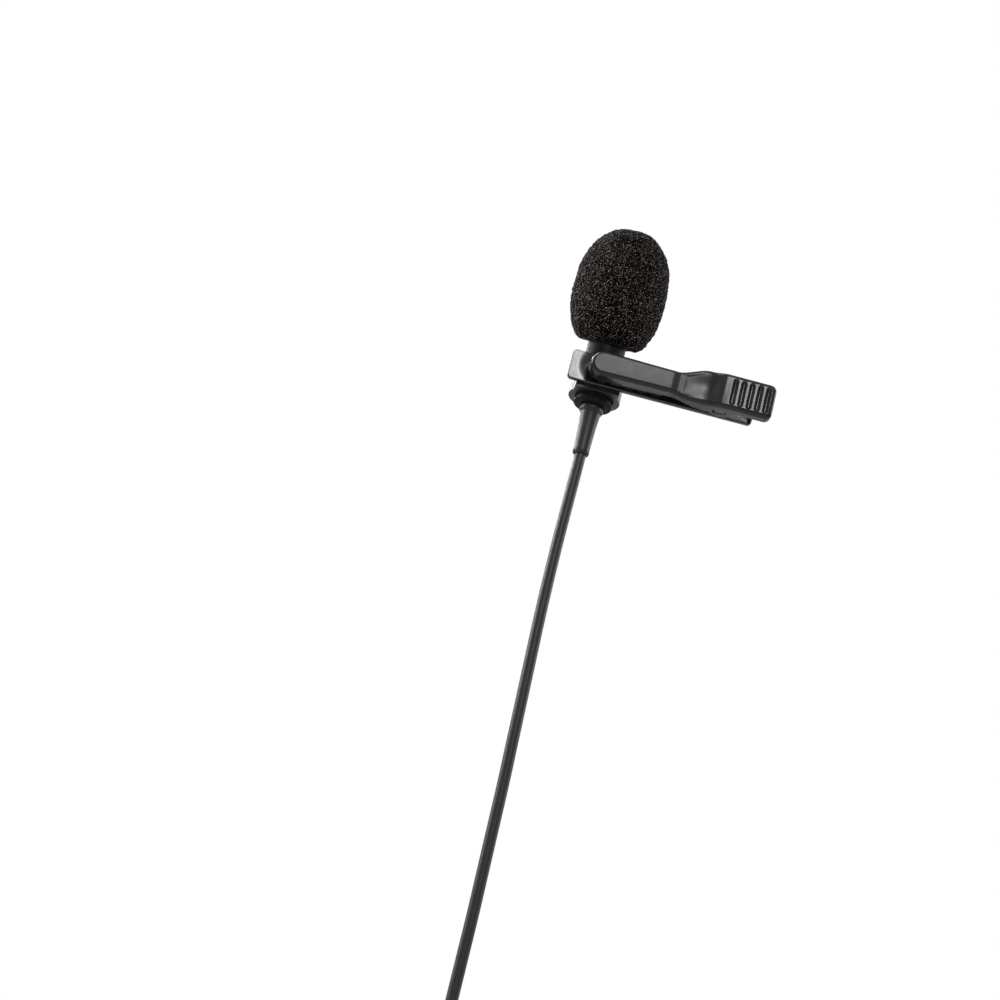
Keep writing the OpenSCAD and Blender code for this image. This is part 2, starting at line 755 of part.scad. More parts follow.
// Fine mesh disc behind the grille.
module grille_mesh() {
    color([0.35, 0.35, 0.35])
        on_mic_axis(barrel_top - cap_t - seat_clear - mesh_t)
            cylinder(r = bore_r - spigot_t - 3 * seat_clear, h = mesh_t);
}

// Rubber sleeve that seats the can in the tube, below the cap's spigot.
module capsule_boot() {
    color([0.08, 0.08, 0.08])
        on_mic_axis(can_z - 0.2)
            ring(bore_r - seat_clear, can_r + seat_clear, tube_top - spigot_h - seat_clear - can_z + 0.2);
}

// Drawn can, open below, with a sound hole above and a lip rolled under the board.
module capsule_can() {
    color([0.8, 0.8, 0.78])
        on_mic_axis()
            rotate_extrude()
                polygon([[sound_hole_d / 2, can_top], [can_r, can_top], [can_r, can_z], [lip_r, can_z],
                    [lip_r, can_z + lip_t], [can_in_r, can_z + lip_t], [can_in_r, can_top - can_wall],
                    [sound_hole_d / 2, can_top - can_wall]]);
}

// Felt disc over the sound hole.
module dust_felt() {
    color([0.12, 0.12, 0.12])
        on_mic_axis(can_top + seat_clear)
            cylinder(r = can_r - 0.25, h = felt_t);
}

// Film bonded under its tension ring.
module diaphragm() {
    color([0.85, 0.75, 0.4])
        on_mic_axis(film_z) {
            cylinder(r = stack_r, h = film_t);
            ring(stack_r, stack_r - 0.25, film_ring_t);
        }
}

// Thin ring that sets the air gap.
module spacer_ring() {
    color([0.9, 0.9, 0.9])
        on_mic_axis(spacer_z)
            ring(stack_r, stack_r - 0.25, spacer_t);
}

// Charged back plate with four breather holes.
module back_plate() {
    color([0.78, 0.66, 0.3])
        on_mic_axis(plate_disc_z)
            difference() {
                cylinder(r = stack_r - cup_wall - seat_clear, h = plate_disc_t);
                for (k = [0:3])
                    rotate([0, 0, 90 * k]) translate([0.9, 0, -1]) cylinder(r = 0.15, h = 3);
            }
}

// Moulded cup that keeps the back plate off the can.
module insulator_cup() {
    shelf = 0.2;
    wall_r = stack_r - cup_wall;
    color([0.92, 0.92, 0.88])
        on_mic_axis()
            rotate_extrude()
                polygon([[wall_r - shelf, cup_z], [stack_r, cup_z], [stack_r, spacer_z - seat_clear],
                    [wall_r, spacer_z - seat_clear], [wall_r, plate_disc_z - seat_clear],
                    [wall_r - shelf, plate_disc_z - seat_clear]]);
}

// Brass ring between the back plate and the board.
module contact_ring() {
    r = stack_r - cup_wall - 0.2 - seat_clear;
    color([0.8, 0.62, 0.28])
        on_mic_axis(cup_z)
            ring(r, r - contact_t, plate_disc_z - seat_clear - cup_z);
}

// Impedance converter on the board, with three leads.
module transistor() {
    color([0.1, 0.1, 0.1])
        on_mic_axis(cup_z)
            union() {
                translate([-0.5, -0.4, 0.05]) cube([1, 0.8, 0.45]);
                for (q = [[-0.35, -0.6], [0.35, -0.6], [0, 0.38]])
                    translate([q[0] - 0.08, q[1], 0]) cube([0.16, 0.22, 0.12]);
            }
}

// Round board with two solder pads on its underside.
module capsule_board() {
    color([0.1, 0.35, 0.2])
        on_mic_axis(board_z)
            union() {
                cylinder(r = stack_r, h = board_t);
                for (s = [-1, 1])
                    translate([s * wire_pitch * 1.6, 0, -0.06]) cylinder(r = 0.4, h = 0.2);
            }
}

// Two insulated wires from the pads to the cord's end.
module lead_wires() {
    color([0.7, 0.15, 0.12])
        for (s = [-1, 1]) {
            bow_down = 5;
            path = [for (q = [[1.6, board_z - 0.08], [1.6, board_z - 2], [2.6, board_z - bow_down],
                [1.6, core_top + 3], [1, core_top + 1], [1, core_top + seat_clear]])
                [mic_x + s * wire_pitch * q[0], mic_y, q[1]]];
            tube(path, wire_r, 8, [0, 1, 0]);
        }
}

// The cord's end inside the strain relief.
module cord_core() {
    color([0.12, 0.12, 0.12])
        on_mic_axis(relief_z)
            cylinder(r = cord_r, h = core_top - relief_z);
}

// Crimped collar that stops the cord from pulling out.
module cord_crimp() {
    color([0.75, 0.75, 0.73])
        on_mic_axis(barrel_z + cap_disc_t + flange_t + 2 * seat_clear)
            ring(cord_r + 0.5, cord_r + seat_clear, crimp_len);
}

// Plug of the barrel's lower end, round the strain relief's neck.
module end_cap() {
    color([0.1, 0.1, 0.11])
        on_mic_axis(barrel_z)
            ring(bore_r - seat_clear, cord_r + 0.5 + seat_clear, cap_disc_t);
}

// Moulded boot: a flange above the end cap, a neck through it and a tapered sleeve below.
module strain_relief() {
    neck_r = cord_r + 0.5;
    flange_z = barrel_z + cap_disc_t + seat_clear;
    hole_r = cord_r + seat_clear;
    top_z = barrel_z - seat_clear;
    collar = 1.2;
    tip_r2 = cord_r + relief_tip_wall;
    color([0.09, 0.09, 0.09])
        on_mic_axis()
            rotate_extrude()
                polygon(concat(
                    [[hole_r, relief_z], [tip_r2 - 0.15, relief_z], [tip_r2, relief_z + 0.3]],
                    [for (t = [0.25:0.25:1])
                        [mix(tip_r2, relief_d / 2 - 0.25, t * t), mix(relief_z + 0.3, top_z - collar, t)]],
                    [[relief_d / 2, top_z - collar], [relief_d / 2, top_z], [neck_r, top_z],
                    [neck_r, flange_z], [neck_r + 0.7, flange_z], [neck_r + 0.7, flange_z + flange_t],
                    [hole_r, flange_z + flange_t]]));
}

// ---- Windscreen ----

function foam_r(t) = foam_d / 2 * pow(max(0, 1 - pow(abs(t), foam_power)), 1 / foam_power);

// Ovoid of open-cell foam with a blind bore for the barrel's head. Its mouth is cut at a slant.
module foam_windscreen() {
    bore = barrel_r + foam_clear;
    bore_top = barrel_top + 0.25;
    lip_t = 0.5;
    color([0.09, 0.09, 0.095])
        on_mic_axis()
            difference() {
                rotate_extrude($fn = 64)
                    polygon(concat(
                        [[0, foam_mid_z - foam_half]],
                        [for (i = [0:foam_steps - 1])
                            let (t = -cos(180 * i / foam_steps))
                            [t < 0 ? max(foam_r(t), bore + lip_t) : foam_r(t), foam_mid_z + foam_half * t]],
                        [[0, foam_top]]));
                translate([0, 0, foam_z])
                    rotate([foam_slant, 0, 0])
                        translate([-foam_d, -foam_d, -foam_len]) cube([2 * foam_d, 2 * foam_d, foam_len]);
                cylinder(r = bore, h = bore_top);
            }
}

// ---- Cord and plug ----

// The free stretch from the strain relief to the coil.
module cord_drop() {
    color([0.12, 0.12, 0.12])
        tube(drop_path, cord_r, 8, [0, 1, 0]);
}

// The stored length: one unbroken tube, wound in four layers.
module cord_coil() {
    echo(coil_gap = least_gap(coil_path, floor(rings_per_loop / 2)) - cord_d,
        coil_length = coil_turns * PI * coil_mid_d);
    color([0.12, 0.12, 0.12])
        tube(coil_path, cord_r, 6, [0, 1, 0]);
}

// Strap round all the turns, as a rounded band that the bundle passes through.
module cord_tie() {
    bow = 0.9;
    low = coil_r_in - cord_r - bow - tie_clear;
    high = coil_r_out + cord_r + tie_clear;
    front = coil_y - cord_r - tie_clear;
    back = coil_back_y + cord_r + tie_clear;
    corner = 1.2;
    module band(grow) {
        r = corner + grow;
        w = high - low + 2 * grow;
        d = back - front + 2 * grow;
        square([w - 2 * r, d], center = true);
        square([w, d - 2 * r], center = true);
        for (sx = [-1, 1], sy = [-1, 1])
            translate([sx * (w / 2 - r), sy * (d / 2 - r)]) circle(r = r, $fn = 32);
    }
    color([0.18, 0.18, 0.19])
        translate([coil_x, 0, coil_z])
            rotate([0, tie_angle - 90, 0])
                translate([(low + high) / 2, (front + back) / 2, -tie_w / 2])
                    linear_extrude(tie_w)
                        difference() {
                            band(tie_t);
                            band(0);
                        }
}

// The last stretch, from the coil to the plug's boot.
module cord_tail() {
    color([0.12, 0.12, 0.12])
        tube(tail_path, cord_r, 8, [0, 1, 0]);
}

// Flexible boot with ring grooves, moulded to the shell.
module plug_boot() {
    rib_n = 4;
    rib_pitch = boot_len / (rib_n + 1);
    tip_r2 = cord_r + 0.4;
    base_r = shell_r * 0.72;
    color([0.09, 0.09, 0.09])
        on_plug_axis()
            rotate_extrude()
                polygon(concat(
                    [[0, boot_top_z], [tip_r2, boot_top_z]],
                    [for (i = [1:rib_n], k = [0:3])
                        let (z = i * rib_pitch + [-0.35, -0.25, 0.25, 0.35][k],
                            r = mix(tip_r2, base_r, z / boot_len))
                        [r - (k == 1 || k == 2 ? 0.3 : 0), boot_top_z - z]],
                    [[base_r, shell_top_z], [0, shell_top_z]]));
}

// Knurl-free shell with a waist for the fingers.
module plug_shell() {
    nose_t = 1;
    nose_r = jack_r + 1;
    color([0.12, 0.12, 0.13])
        on_plug_axis()
            rotate_extrude($fn = 64)
                polygon(concat(
                    [[0, shell_top_z], [shell_r - 0.5, shell_top_z], [shell_r, shell_top_z - 0.5]],
                    [for (t = [0.1:0.1:0.9])
                        [shell_r - 0.35 * sin(180 * t), mix(shell_top_z - 2, jack_z + 3, t)]],
                    [[shell_r, jack_z + nose_t + 0.5], [shell_r - 0.5, jack_z + nose_t],
                    [nose_r, jack_z + nose_t], [nose_r, jack_z], [0, jack_z]]));
}

// One contact or insulator of the plug, from z_top down.
module jack_band(z_top, h, r) {
    on_plug_axis(z_top - h) cylinder(r = r, h = h);
}

// Sleeve contact.
module plug_sleeve() {
    color([0.83, 0.8, 0.72])
        jack_band(jack_z, sleeve_len, jack_r);
}

// Ring contact.
module plug_ring() {
    color([0.83, 0.8, 0.72])
        jack_band(jack_z - sleeve_len - gap_len, ring_len, jack_r);
}

// Tip contact: a neck that the socket's spring drops into, then a blunt cone.
module plug_tip() {
    top = jack_z - sleeve_len - ring_len - 2 * gap_len;
    low = jack_z - jack_len;
    color([0.83, 0.8, 0.72])
        on_plug_axis()
            rotate_extrude()
                polygon([[0, low], [0.55, low], [0.9, low + 0.2], [jack_r - 0.05, low + 1.5],
                    [jack_r - 0.05, low + 1.9], [1.15, low + 2.6], [1.15, top - 0.35], [1.35, top],
                    [0, top]]);
}

// The two insulating rings between the contacts.
module plug_insulators() {
    color([0.05, 0.05, 0.05])
        for (z = [jack_z - sleeve_len, jack_z - sleeve_len - gap_len - ring_len])
            jack_band(z, gap_len, jack_r);
}

rear_lever();
holder_ring();
hinge_pin();
torsion_spring();
front_lever();
barrel();
grille_cap();
grille_mesh();
capsule_boot();
capsule_can();
dust_felt();
diaphragm();
spacer_ring();
back_plate();
insulator_cup();
contact_ring();
transistor();
capsule_board();
lead_wires();
cord_core();
cord_crimp();
end_cap();
strain_relief();
foam_windscreen();
cord_drop();
cord_coil();
cord_tie();
cord_tail();
plug_boot();
plug_shell();
plug_sleeve();
plug_ring();
plug_tip();
plug_insulators();
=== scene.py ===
"""Dresses the lavalier microphone's frame: clip, barrel, foam windscreen, cord, plug and stage."""

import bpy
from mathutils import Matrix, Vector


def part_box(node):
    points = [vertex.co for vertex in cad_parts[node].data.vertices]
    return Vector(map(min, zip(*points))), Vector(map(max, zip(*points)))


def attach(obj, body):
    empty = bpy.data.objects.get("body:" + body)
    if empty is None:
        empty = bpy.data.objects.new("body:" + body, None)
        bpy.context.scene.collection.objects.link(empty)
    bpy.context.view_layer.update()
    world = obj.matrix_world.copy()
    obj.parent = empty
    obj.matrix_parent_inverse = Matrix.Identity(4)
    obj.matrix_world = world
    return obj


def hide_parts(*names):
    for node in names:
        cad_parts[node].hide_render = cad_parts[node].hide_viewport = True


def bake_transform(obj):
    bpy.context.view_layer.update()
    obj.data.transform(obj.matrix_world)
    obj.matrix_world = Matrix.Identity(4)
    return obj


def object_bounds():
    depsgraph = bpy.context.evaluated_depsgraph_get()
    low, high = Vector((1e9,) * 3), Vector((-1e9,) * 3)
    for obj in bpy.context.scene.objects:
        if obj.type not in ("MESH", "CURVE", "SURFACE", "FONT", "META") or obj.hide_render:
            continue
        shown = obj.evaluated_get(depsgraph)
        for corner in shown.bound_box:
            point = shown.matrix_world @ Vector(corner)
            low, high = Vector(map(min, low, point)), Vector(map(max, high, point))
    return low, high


bl_info = {
    "name": "Lavalier Microphone",
    "version": (1, 0, 0),
    "blender": (4, 5, 0),
    "location": "View3D > Sidebar > Lavalier",
    "description": "Builds the looks of a lavalier microphone round its packed frame",
    "category": "Add Mesh",
}

from math import acos, cos, hypot, pi, radians, sin, sqrt, tan

import bmesh
import bpy
from bpy.props import FloatProperty, FloatVectorProperty, IntProperty, PointerProperty
from mathutils import Matrix, Vector, noise

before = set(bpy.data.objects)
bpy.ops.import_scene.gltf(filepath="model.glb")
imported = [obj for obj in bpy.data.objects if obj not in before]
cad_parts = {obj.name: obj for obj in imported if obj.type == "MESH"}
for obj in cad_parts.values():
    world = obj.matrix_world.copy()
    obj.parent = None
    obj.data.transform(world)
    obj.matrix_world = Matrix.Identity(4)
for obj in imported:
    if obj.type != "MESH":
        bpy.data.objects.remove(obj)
CAD_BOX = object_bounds()
MM = 0.001


def middle_of(node):
    """X and Y of the middle of a node's box."""
    low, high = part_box(node)
    return (low.x + high.x) / 2, (low.y + high.y) / 2


# Places that the pieces share, from the frame's own nodes.
MIC_X, MIC_Y = middle_of("barrel")
BARREL_LOW, BARREL_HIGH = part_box("barrel")
BARREL_R = (BARREL_HIGH.x - BARREL_LOW.x) / 2
BARREL_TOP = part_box("grille_cap")[1].z
RELIEF_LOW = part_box("strain_relief")[0].z
PIN_LOW, PIN_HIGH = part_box("hinge_pin")
PIN_AT = (PIN_LOW + PIN_HIGH) / 2
PLUG_X, PLUG_Y = middle_of("plug_sleeve")
BOOT_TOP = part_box("plug_boot")[1].z

# The front lever's face: where its panel ends and its saddle, ramp, grip and ridges start, and how high it
# is.
PANEL_X, PANEL_H = 15.3 * MM, 3.8 * MM
SADDLE_X, SADDLE_H = 16.7 * MM, 3.5 * MM
RAMP_X, RAMP_H = 21.72 * MM, 5 * MM
GRIP_X, GRIP_H = 24.72 * MM, 5.75 * MM
RIDGES_X = 25.2 * MM

# The thumb's dish in the saddle: its ends, half its width at both, its depth, where it sets in, and its grid.
DISH_X = (16.2 * MM, 24.2 * MM)
DISH_HALF_W = (1.7 * MM, 2.6 * MM)
DISH_DEPTH = 0.22 * MM
DISH_BLEND = 1 * MM
DISH_GRID = 0.25 * MM
# How fast it widens, sinks and runs out. At 1 that takes its whole length.
DISH_WIDENS, DISH_SINKS, DISH_RUNS_OUT = 1.6, 1.5, 3.2
# A facet belongs to the face if it points this far forwards, and a point if it lies no deeper.
FACE_NORMAL_Y, FACE_NEAR = -0.5, 0.6 * MM

# What the shading normal alone takes off the saddle's rise, adds to the ramp's, which it starts early, and
# sinks the plate by, in millimetres.
SADDLE_LEVELLER, SADDLE_STEEPER, SEAT_DEPTH = 1.3, 0.6, 0.7
RAMP_LEAD = 1 * MM
# The front lever's round tip, and the plate's seat round it: its reach to both sides of the tip's edge, its
# height above the lever's middle, and where the plate's front face ends.
TIP_R = 2.5 * MM
TIP_MIDDLE_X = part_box("front_lever")[0].x + TIP_R
SEAT_REACH = 2.35 * MM
SEAT_Z = 0.5 * MM
SEAT_FACE_ENDS = (0.2 * MM, 0.5 * MM)
# How much smoother than the panel the front lever's rim, saddle and ridges are, and where these set in and
# fade.
RIM_GLOSS, SADDLE_GLOSS, RIDGE_GLOSS = 0.16, 0.05, 0.09
RIM_FALL = (0.03 * MM, 0.2 * MM)
RIM_FADE, RIDGE_FADE = 1 * MM, 0.6 * MM


# ---- What a user would change ----

# What like properties share.
LENGTH = {"unit": "LENGTH", "precision": 5}
POINT = {"size": 3, "subtype": "TRANSLATION", **LENGTH}
ANGLE = {"subtype": "ANGLE", "unit": "ROTATION"}
COLOUR = {"size": 3, "subtype": "COLOR", "min": 0, "max": 1}


class CameraSettings(bpy.types.PropertyGroup):
    place: FloatVectorProperty(
        name="Place", description="Where the camera stands", default=(-0.01766, -0.45431, -0.21161), **POINT
    )
    aim: FloatVectorProperty(
        name="Aim", description="The middle of the view", default=(-0.01039, 0.0, -0.03017), **POINT
    )
    roll: FloatProperty(
        name="Roll", description="Turn of the camera about its own axis", default=radians(14.426), **ANGLE
    )
    lens: FloatProperty(
        name="Lens", description="Focal length (36 mm sensor)", default=97.2, min=20, max=200, unit="CAMERA"
    )


class CordSettings(bpy.types.PropertyGroup):
    thickness: FloatProperty(
        name="Thickness",
        description="Diameter of the cord",
        default=2.2 * MM,
        min=1.8 * MM,
        max=2.4 * MM,
        **LENGTH,
    )
    length: FloatProperty(
        name="Length", description="Length from the strain relief to the plug", default=1.2, unit="LENGTH"
    )
    jacket: FloatVectorProperty(
        name="Jacket", description="Colour of the cord's jacket", default=(0.008, 0.0078, 0.0078), **COLOUR
    )


class WindscreenSettings(bpy.types.PropertyGroup):
    width: FloatProperty(name="Width", description="Diameter of the foam", default=17.8 * MM, **LENGTH)
    length: FloatProperty(name="Length", description="Length of the foam", default=23.7 * MM, **LENGTH)
    bite: FloatProperty(
        name="Bite", description="How far the foam reaches over the barrel", default=9.7 * MM, **LENGTH
    )
    slant: FloatProperty(
        name="Slant", description="How much lower the foam's mouth is in front", default=radians(22), **ANGLE
    )
    roundness: FloatProperty(
        name="Roundness", description="2 is an ellipse, and more is boxier", default=2.3, min=2, max=2.8
    )
    pore: FloatProperty(name="Pore", description="Size of the foam's open cells", default=0.23 * MM, **LENGTH)
    tuft: FloatProperty(
        name="Tuft", description="Size of the bumps on the foam's outline", default=0.48 * MM, **LENGTH
    )
    depth: FloatProperty(
        name="Tuft depth", description="How far those bumps stand out", default=0.44 * MM, **LENGTH
    )
    skin: FloatVectorProperty(
        name="Foam", description="Colour of the foam's struts", default=(0.07, 0.058, 0.053), **COLOUR
    )


class ClipSettings(bpy.types.PropertyGroup):
    plastic: FloatVectorProperty(
        name="Plastic", description="Colour of the moulded clip", default=(0.0075, 0.007, 0.007), **COLOUR
    )
    edge: FloatProperty(
        name="Edge",
        description="Rounding of the moulded edges",
        default=0.11 * MM,
        min=0.02 * MM,
        max=0.2 * MM,
        **LENGTH,
    )
    wire: FloatProperty(
        name="Spring wire", description="Diameter of the spring's wire", default=0.5 * MM, **LENGTH
    )
    spring_turns: IntProperty(
        name="Spring turns", description="Turns of the spring round the pin", default=3, min=2, max=4
    )


class StageSettings(bpy.types.PropertyGroup):
    floor: FloatVectorProperty(
        name="Floor", description="Colour of the floor", default=(0.82, 0.82, 0.82), **COLOUR
    )
    room: FloatProperty(
        name="Room light", description="Strength of the light from all round", default=0.25, min=0, max=1
    )
    key: FloatProperty(
        name="Key light", description="Brightness of the main softbox", default=46.0, min=0, max=80
    )


GROUPS = {
    "lavalier_camera": CameraSettings,
    "lavalier_cord": CordSettings,
    "lavalier_windscreen": WindscreenSettings,
    "lavalier_clip": ClipSettings,
    "lavalier_stage": StageSettings,
}


# ---- Material nodes ----

# The Mix node's sockets for colours, and the Wave node's spacing at a scale of 1.
MIX_FACTOR, MIX_FIRST, MIX_SECOND, MIX_RESULT = 0, 6, 7, 2
BAND_SPACING = 0.31


class Value:
    """A socket of a node tree. Arithmetic on it adds Math nodes."""

    def __init__(self, tree, socket):
        self.tree = tree
        self.socket = socket

    def __add__(self, other):
        return self.tree.math("ADD", self, other)

    def __radd__(self, other):
        return self.tree.math("ADD", other, self)

    def __sub__(self, other):
        return self.tree.math("SUBTRACT", self, other)

    def __rsub__(self, other):
        return self.tree.math("SUBTRACT", other, self)

    def __mul__(self, other):
        return self.tree.math("MULTIPLY", self, other)

    def __rmul__(self, other):
        return self.tree.math("MULTIPLY", other, self)

    def step(self, low, high):
        """0 below low, 1 above high and smooth between them."""
        inputs = {"Value": self, "From Min": low, "From Max": high}
        return self.tree.add("ShaderNodeMapRange", {"interpolation_type": "SMOOTHSTEP"}, inputs)


class Tree:
    """The node tree of a material or the world, emptied."""

    def __init__(self, owner):
        owner.use_nodes = True
        self.owner = owner
        self.nodes = owner.node_tree.nodes
        self.links = owner.node_tree.links
        self.nodes.clear()

    def feed(self, socket, value):
        if isinstance(value, Value):
            self.links.new(value.socket, socket)
        else:
            socket.default_value = value

    def add(self, kind, settings=(), inputs=(), output=0):
        """Adds a node. Its settings come first, then the values or links of its sockets."""
        made = self.nodes.new(kind)
        for name, value in dict(settings).items():
            setattr(made, name, value)
        for key, value in dict(inputs).items():
            self.feed(made.inputs[key], value)
        return Value(self, made.outputs[output])

    def close(self, kind, shader):
        """Adds the tree's output node, fed by the shader."""
        self.feed(self.nodes.new(kind).inputs["Surface"], shader)

    def finish(self, colour, rough, normal, fixed):
        """Gives a material these looks and returns it."""
        looks = {"Base Color": colour, "Roughness": rough, "Normal": normal, **fixed}
        shader = self.add("ShaderNodeBsdfPrincipled", inputs=looks)
        self.close("ShaderNodeOutputMaterial", shader)
        return self.owner

    def math(self, operation, *values):
        return self.add("ShaderNodeMath", {"operation": operation}, dict(enumerate(values)))

    def tint(self, factor, colour, first, second):
        """Mixes two shades of a colour, given as factors of it."""
        dark, pale = ((*shade(colour, part), 1.0) for part in (first, second))
        inputs = {MIX_FACTOR: factor, MIX_FIRST: dark, MIX_SECOND: pale}
        return self.add("ShaderNodeMix", {"data_type": "RGBA"}, inputs, output=MIX_RESULT)

    def place(self, scale=None):
        """The point on the surface, in the piece's own metres, stretched by any scale."""
        point = self.add("ShaderNodeTexCoord", output="Object")
        if scale is None:
            return point
        return self.add("ShaderNodeVectorMath", {"operation": "MULTIPLY"}, {0: point, 1: scale})

    def axes(self):
        """X, Y and Z of the point on the surface."""
        split = self.add("ShaderNodeSeparateXYZ", inputs={0: self.place()})
        return [Value(self, part) for part in split.socket.node.outputs]

    def noise(self, size, detail, roughness, point=None):
        """Noise with features of about that size, 0 to 1."""
        inputs = {"Scale": 1 / size, "Detail": detail, "Roughness": roughness}
        return self.add("ShaderNodeTexNoise", inputs={"Vector": point or self.place(), **inputs})

    def cells(self, size):
        """Distance from the middle of cells of about that size."""
        return self.add("ShaderNodeTexVoronoi", inputs={"Vector": self.place(), "Scale": 1 / size})

    def bands(self, size, direction):
        """Waves of about that spacing, 0 to 1."""
        settings = {"wave_type": "BANDS", "bands_direction": direction}
        inputs = {"Vector": self.place(), "Scale": BAND_SPACING / size}
        return self.add("ShaderNodeTexWave", settings, inputs, output="Fac")

    def bump(self, height, depth, under=None):
        """A normal from a height, whose 1 stands for that depth in metres."""
        inputs = {"Height": height, "Distance": depth}
        if under is not None:
            inputs["Normal"] = under
        return self.add("ShaderNodeBump", inputs=inputs)


def shade(colour, factor):
    """The colour, darker or lighter by the factor."""
    return tuple(min(1.0, part * factor) for part in colour)


def finish_tree(name):
    """The tree of a new material."""
    return Tree(bpy.data.materials.new(name))


# ---- Finishes ----


def moulded(name, colour, grain, depth, rough, glint=0.18, form=None, worn=None):
    """Moulded plastic: spark grain, faint flow marks and uneven gloss. form gives the normal under the grain,
    and worn how much smoother hands have made it."""
    tree = finish_tree(name)
    fine = tree.noise(grain, 3, 0.6)
    flow = tree.noise(4 * MM, 3, 0.6, tree.place((0.35, 1, 1)))
    handled = tree.noise(1.6 * MM, 4, 0.65)
    speck = tree.cells(grain * 1.7)
    tone = flow * 0.5 + handled * 0.3 + fine * 0.35
    uneven = rough - 0.07 + handled * 0.1 + fine * 0.05
    return tree.finish(
        tree.tint(tone.step(0.35, 0.85), colour, 0.75, 1.3),
        uneven - worn(tree) if worn else uneven,
        tree.bump(fine * 0.7 + speck * 0.5, depth, form and form(tree)),
        {"Specular IOR Level": glint},
    )


def saddle_form(tree):
    """The normal of the front lever's face, worn nearly level in the saddle and steeper up to the grip."""
    x = tree.axes()[0]
    steeper = x.step(RAMP_X - RAMP_LEAD, GRIP_X) * SADDLE_STEEPER
    return tree.bump(steeper - x.step(SADDLE_X, RAMP_X) * SADDLE_LEVELLER, 1 * MM)


def seat_form(tree):
    """The normal of the plate's face, which sinks a little towards the front lever's tip."""
    x, y, z = tree.axes()
    gap = TIP_MIDDLE_X - x
    along = tree.math("MAXIMUM", gap, 0.0)
    across = z - SEAT_Z
    away = tree.math("SQRT", along * along + across * across) - TIP_R
    front = 1 - y.step(*SEAT_FACE_ENDS)
    return tree.bump(away.step(-SEAT_REACH, SEAT_REACH) * front * SEAT_DEPTH, 1 * MM)


def lever_gloss(tree):
    """How much smoother than the sparked panel the front lever's rounded rim, saddle and ridges are."""
    x, y = tree.axes()[:2]
    rim = (y + PANEL_H).step(*RIM_FALL) * (1 - x.step(PANEL_X - RIM_FADE, PANEL_X))
    saddle = x.step(SADDLE_X, RAMP_X)
    ridges = x.step(RIDGES_X, RIDGES_X + RIDGE_FADE)
    return rim * RIM_GLOSS + saddle * SADDLE_GLOSS + ridges * RIDGE_GLOSS


def edge_wear_and_highlight(name, colour, rough):
    """The same plastic where fingers and tools have polished an edge, its colour painted lighter there as an
    edge highlight.
    """
    tree = finish_tree(name)
    rubbed_and_highlight = tree.noise(0.5 * MM, 4, 0.7)
    return tree.finish(
        # Partly edge wear and partly painted highlight: the edge is coloured 1.1 to 2.2 times as light as the
        # plastic.
        tree.tint(rubbed_and_highlight.step(0.35, 0.8), colour, 1.1, 2.2),
        rough - 0.05 + rubbed_and_highlight * 0.14,
        tree.bump(rubbed_and_highlight, 0.004 * MM),
        {"Specular IOR Level": 0.45},
    )


def rubber(name, colour, rough):
    """Soft black rubber or jacket: dull, with a fine skin and faint bloom."""
    tree = finish_tree(name)
    skin = tree.noise(0.14 * MM, 2, 0.6)
    bloom = tree.noise(2.5 * MM, 4, 0.6)
    return tree.finish(
        tree.tint(bloom.step(0.4, 0.75), colour, 0.85, 1.3),
        rough - 0.05 + bloom * 0.1,
        tree.bump(skin, 0.002 * MM),
        {"Specular IOR Level": 0.2},
    )


def metal(name, colour, rough, brush):
    """Bare metal: faint tarnish, and fine lines across the way it was turned or drawn, squeezed by brush."""
    tree = finish_tree(name)
    lines = tree.noise(0.3 * MM, 3, 0.6, tree.place(brush))
    tarnish = tree.noise(1.8 * MM, 4, 0.6)
    return tree.finish(
        tree.tint(tarnish.step(0.4, 0.8), colour, 1.02, 0.78),
        rough - 0.06 + lines * 0.1 + tarnish * 0.06,
        tree.bump(lines, 0.0015 * MM),
        {"Metallic": 1.0},
    )


def lacquered(name, colour, rough):
    """Black paint baked on turned metal: satin, with orange peel and faint turning lines."""
    tree = finish_tree(name)
    peel = tree.noise(0.35 * MM, 2, 0.5)
    turning = tree.noise(0.5 * MM, 3, 0.6, tree.place((1, 1, 9)))
    haze = tree.noise(2 * MM, 3, 0.6)
    return tree.finish(
        tree.tint(haze.step(0.35, 0.8), colour, 0.8, 1.25),
        rough - 0.05 + haze * 0.07 + turning * 0.05,
        tree.bump(peel * 0.6 + turning * 0.4, 0.004 * MM),
        {"Specular IOR Level": 0.03},
    )


def felted(name, colour, fibre=0.12 * MM, depth=0.05 * MM):
    """Felt or pile: short fibres in all directions."""
    tree = finish_tree(name)
    tuft = tree.noise(fibre, 4, 0.75)
    lie = tree.noise(fibre * 5, 3, 0.6)
    return tree.finish(
        tree.tint((tuft * 0.6 + lie * 0.4).step(0.3, 0.7), colour, 0.5, 1.7),
        0.85 + tuft * 0.1,
        tree.bump(tuft * 0.7 + lie * 0.3, depth),
        {"Sheen Weight": 0.25, "Sheen Roughness": 0.5},
    )


def woven(name, colour, pitch, depth, rough):
    """Wires that cross over and under."""
    tree = finish_tree(name)
    across, along, upright = (tree.bands(pitch, direction) for direction in "XYZ")
    cross = tree.math("MAXIMUM", across * along, along * upright)
    fray = tree.noise(pitch * 0.4, 3, 0.6)
    return tree.finish(
        tree.tint(cross.step(0.1, 0.7), colour, 0.4, 1.5),
        rough + fray * 0.15,
        tree.bump(cross + fray * 0.3, depth),
        {"Metallic": 1.0},
    )


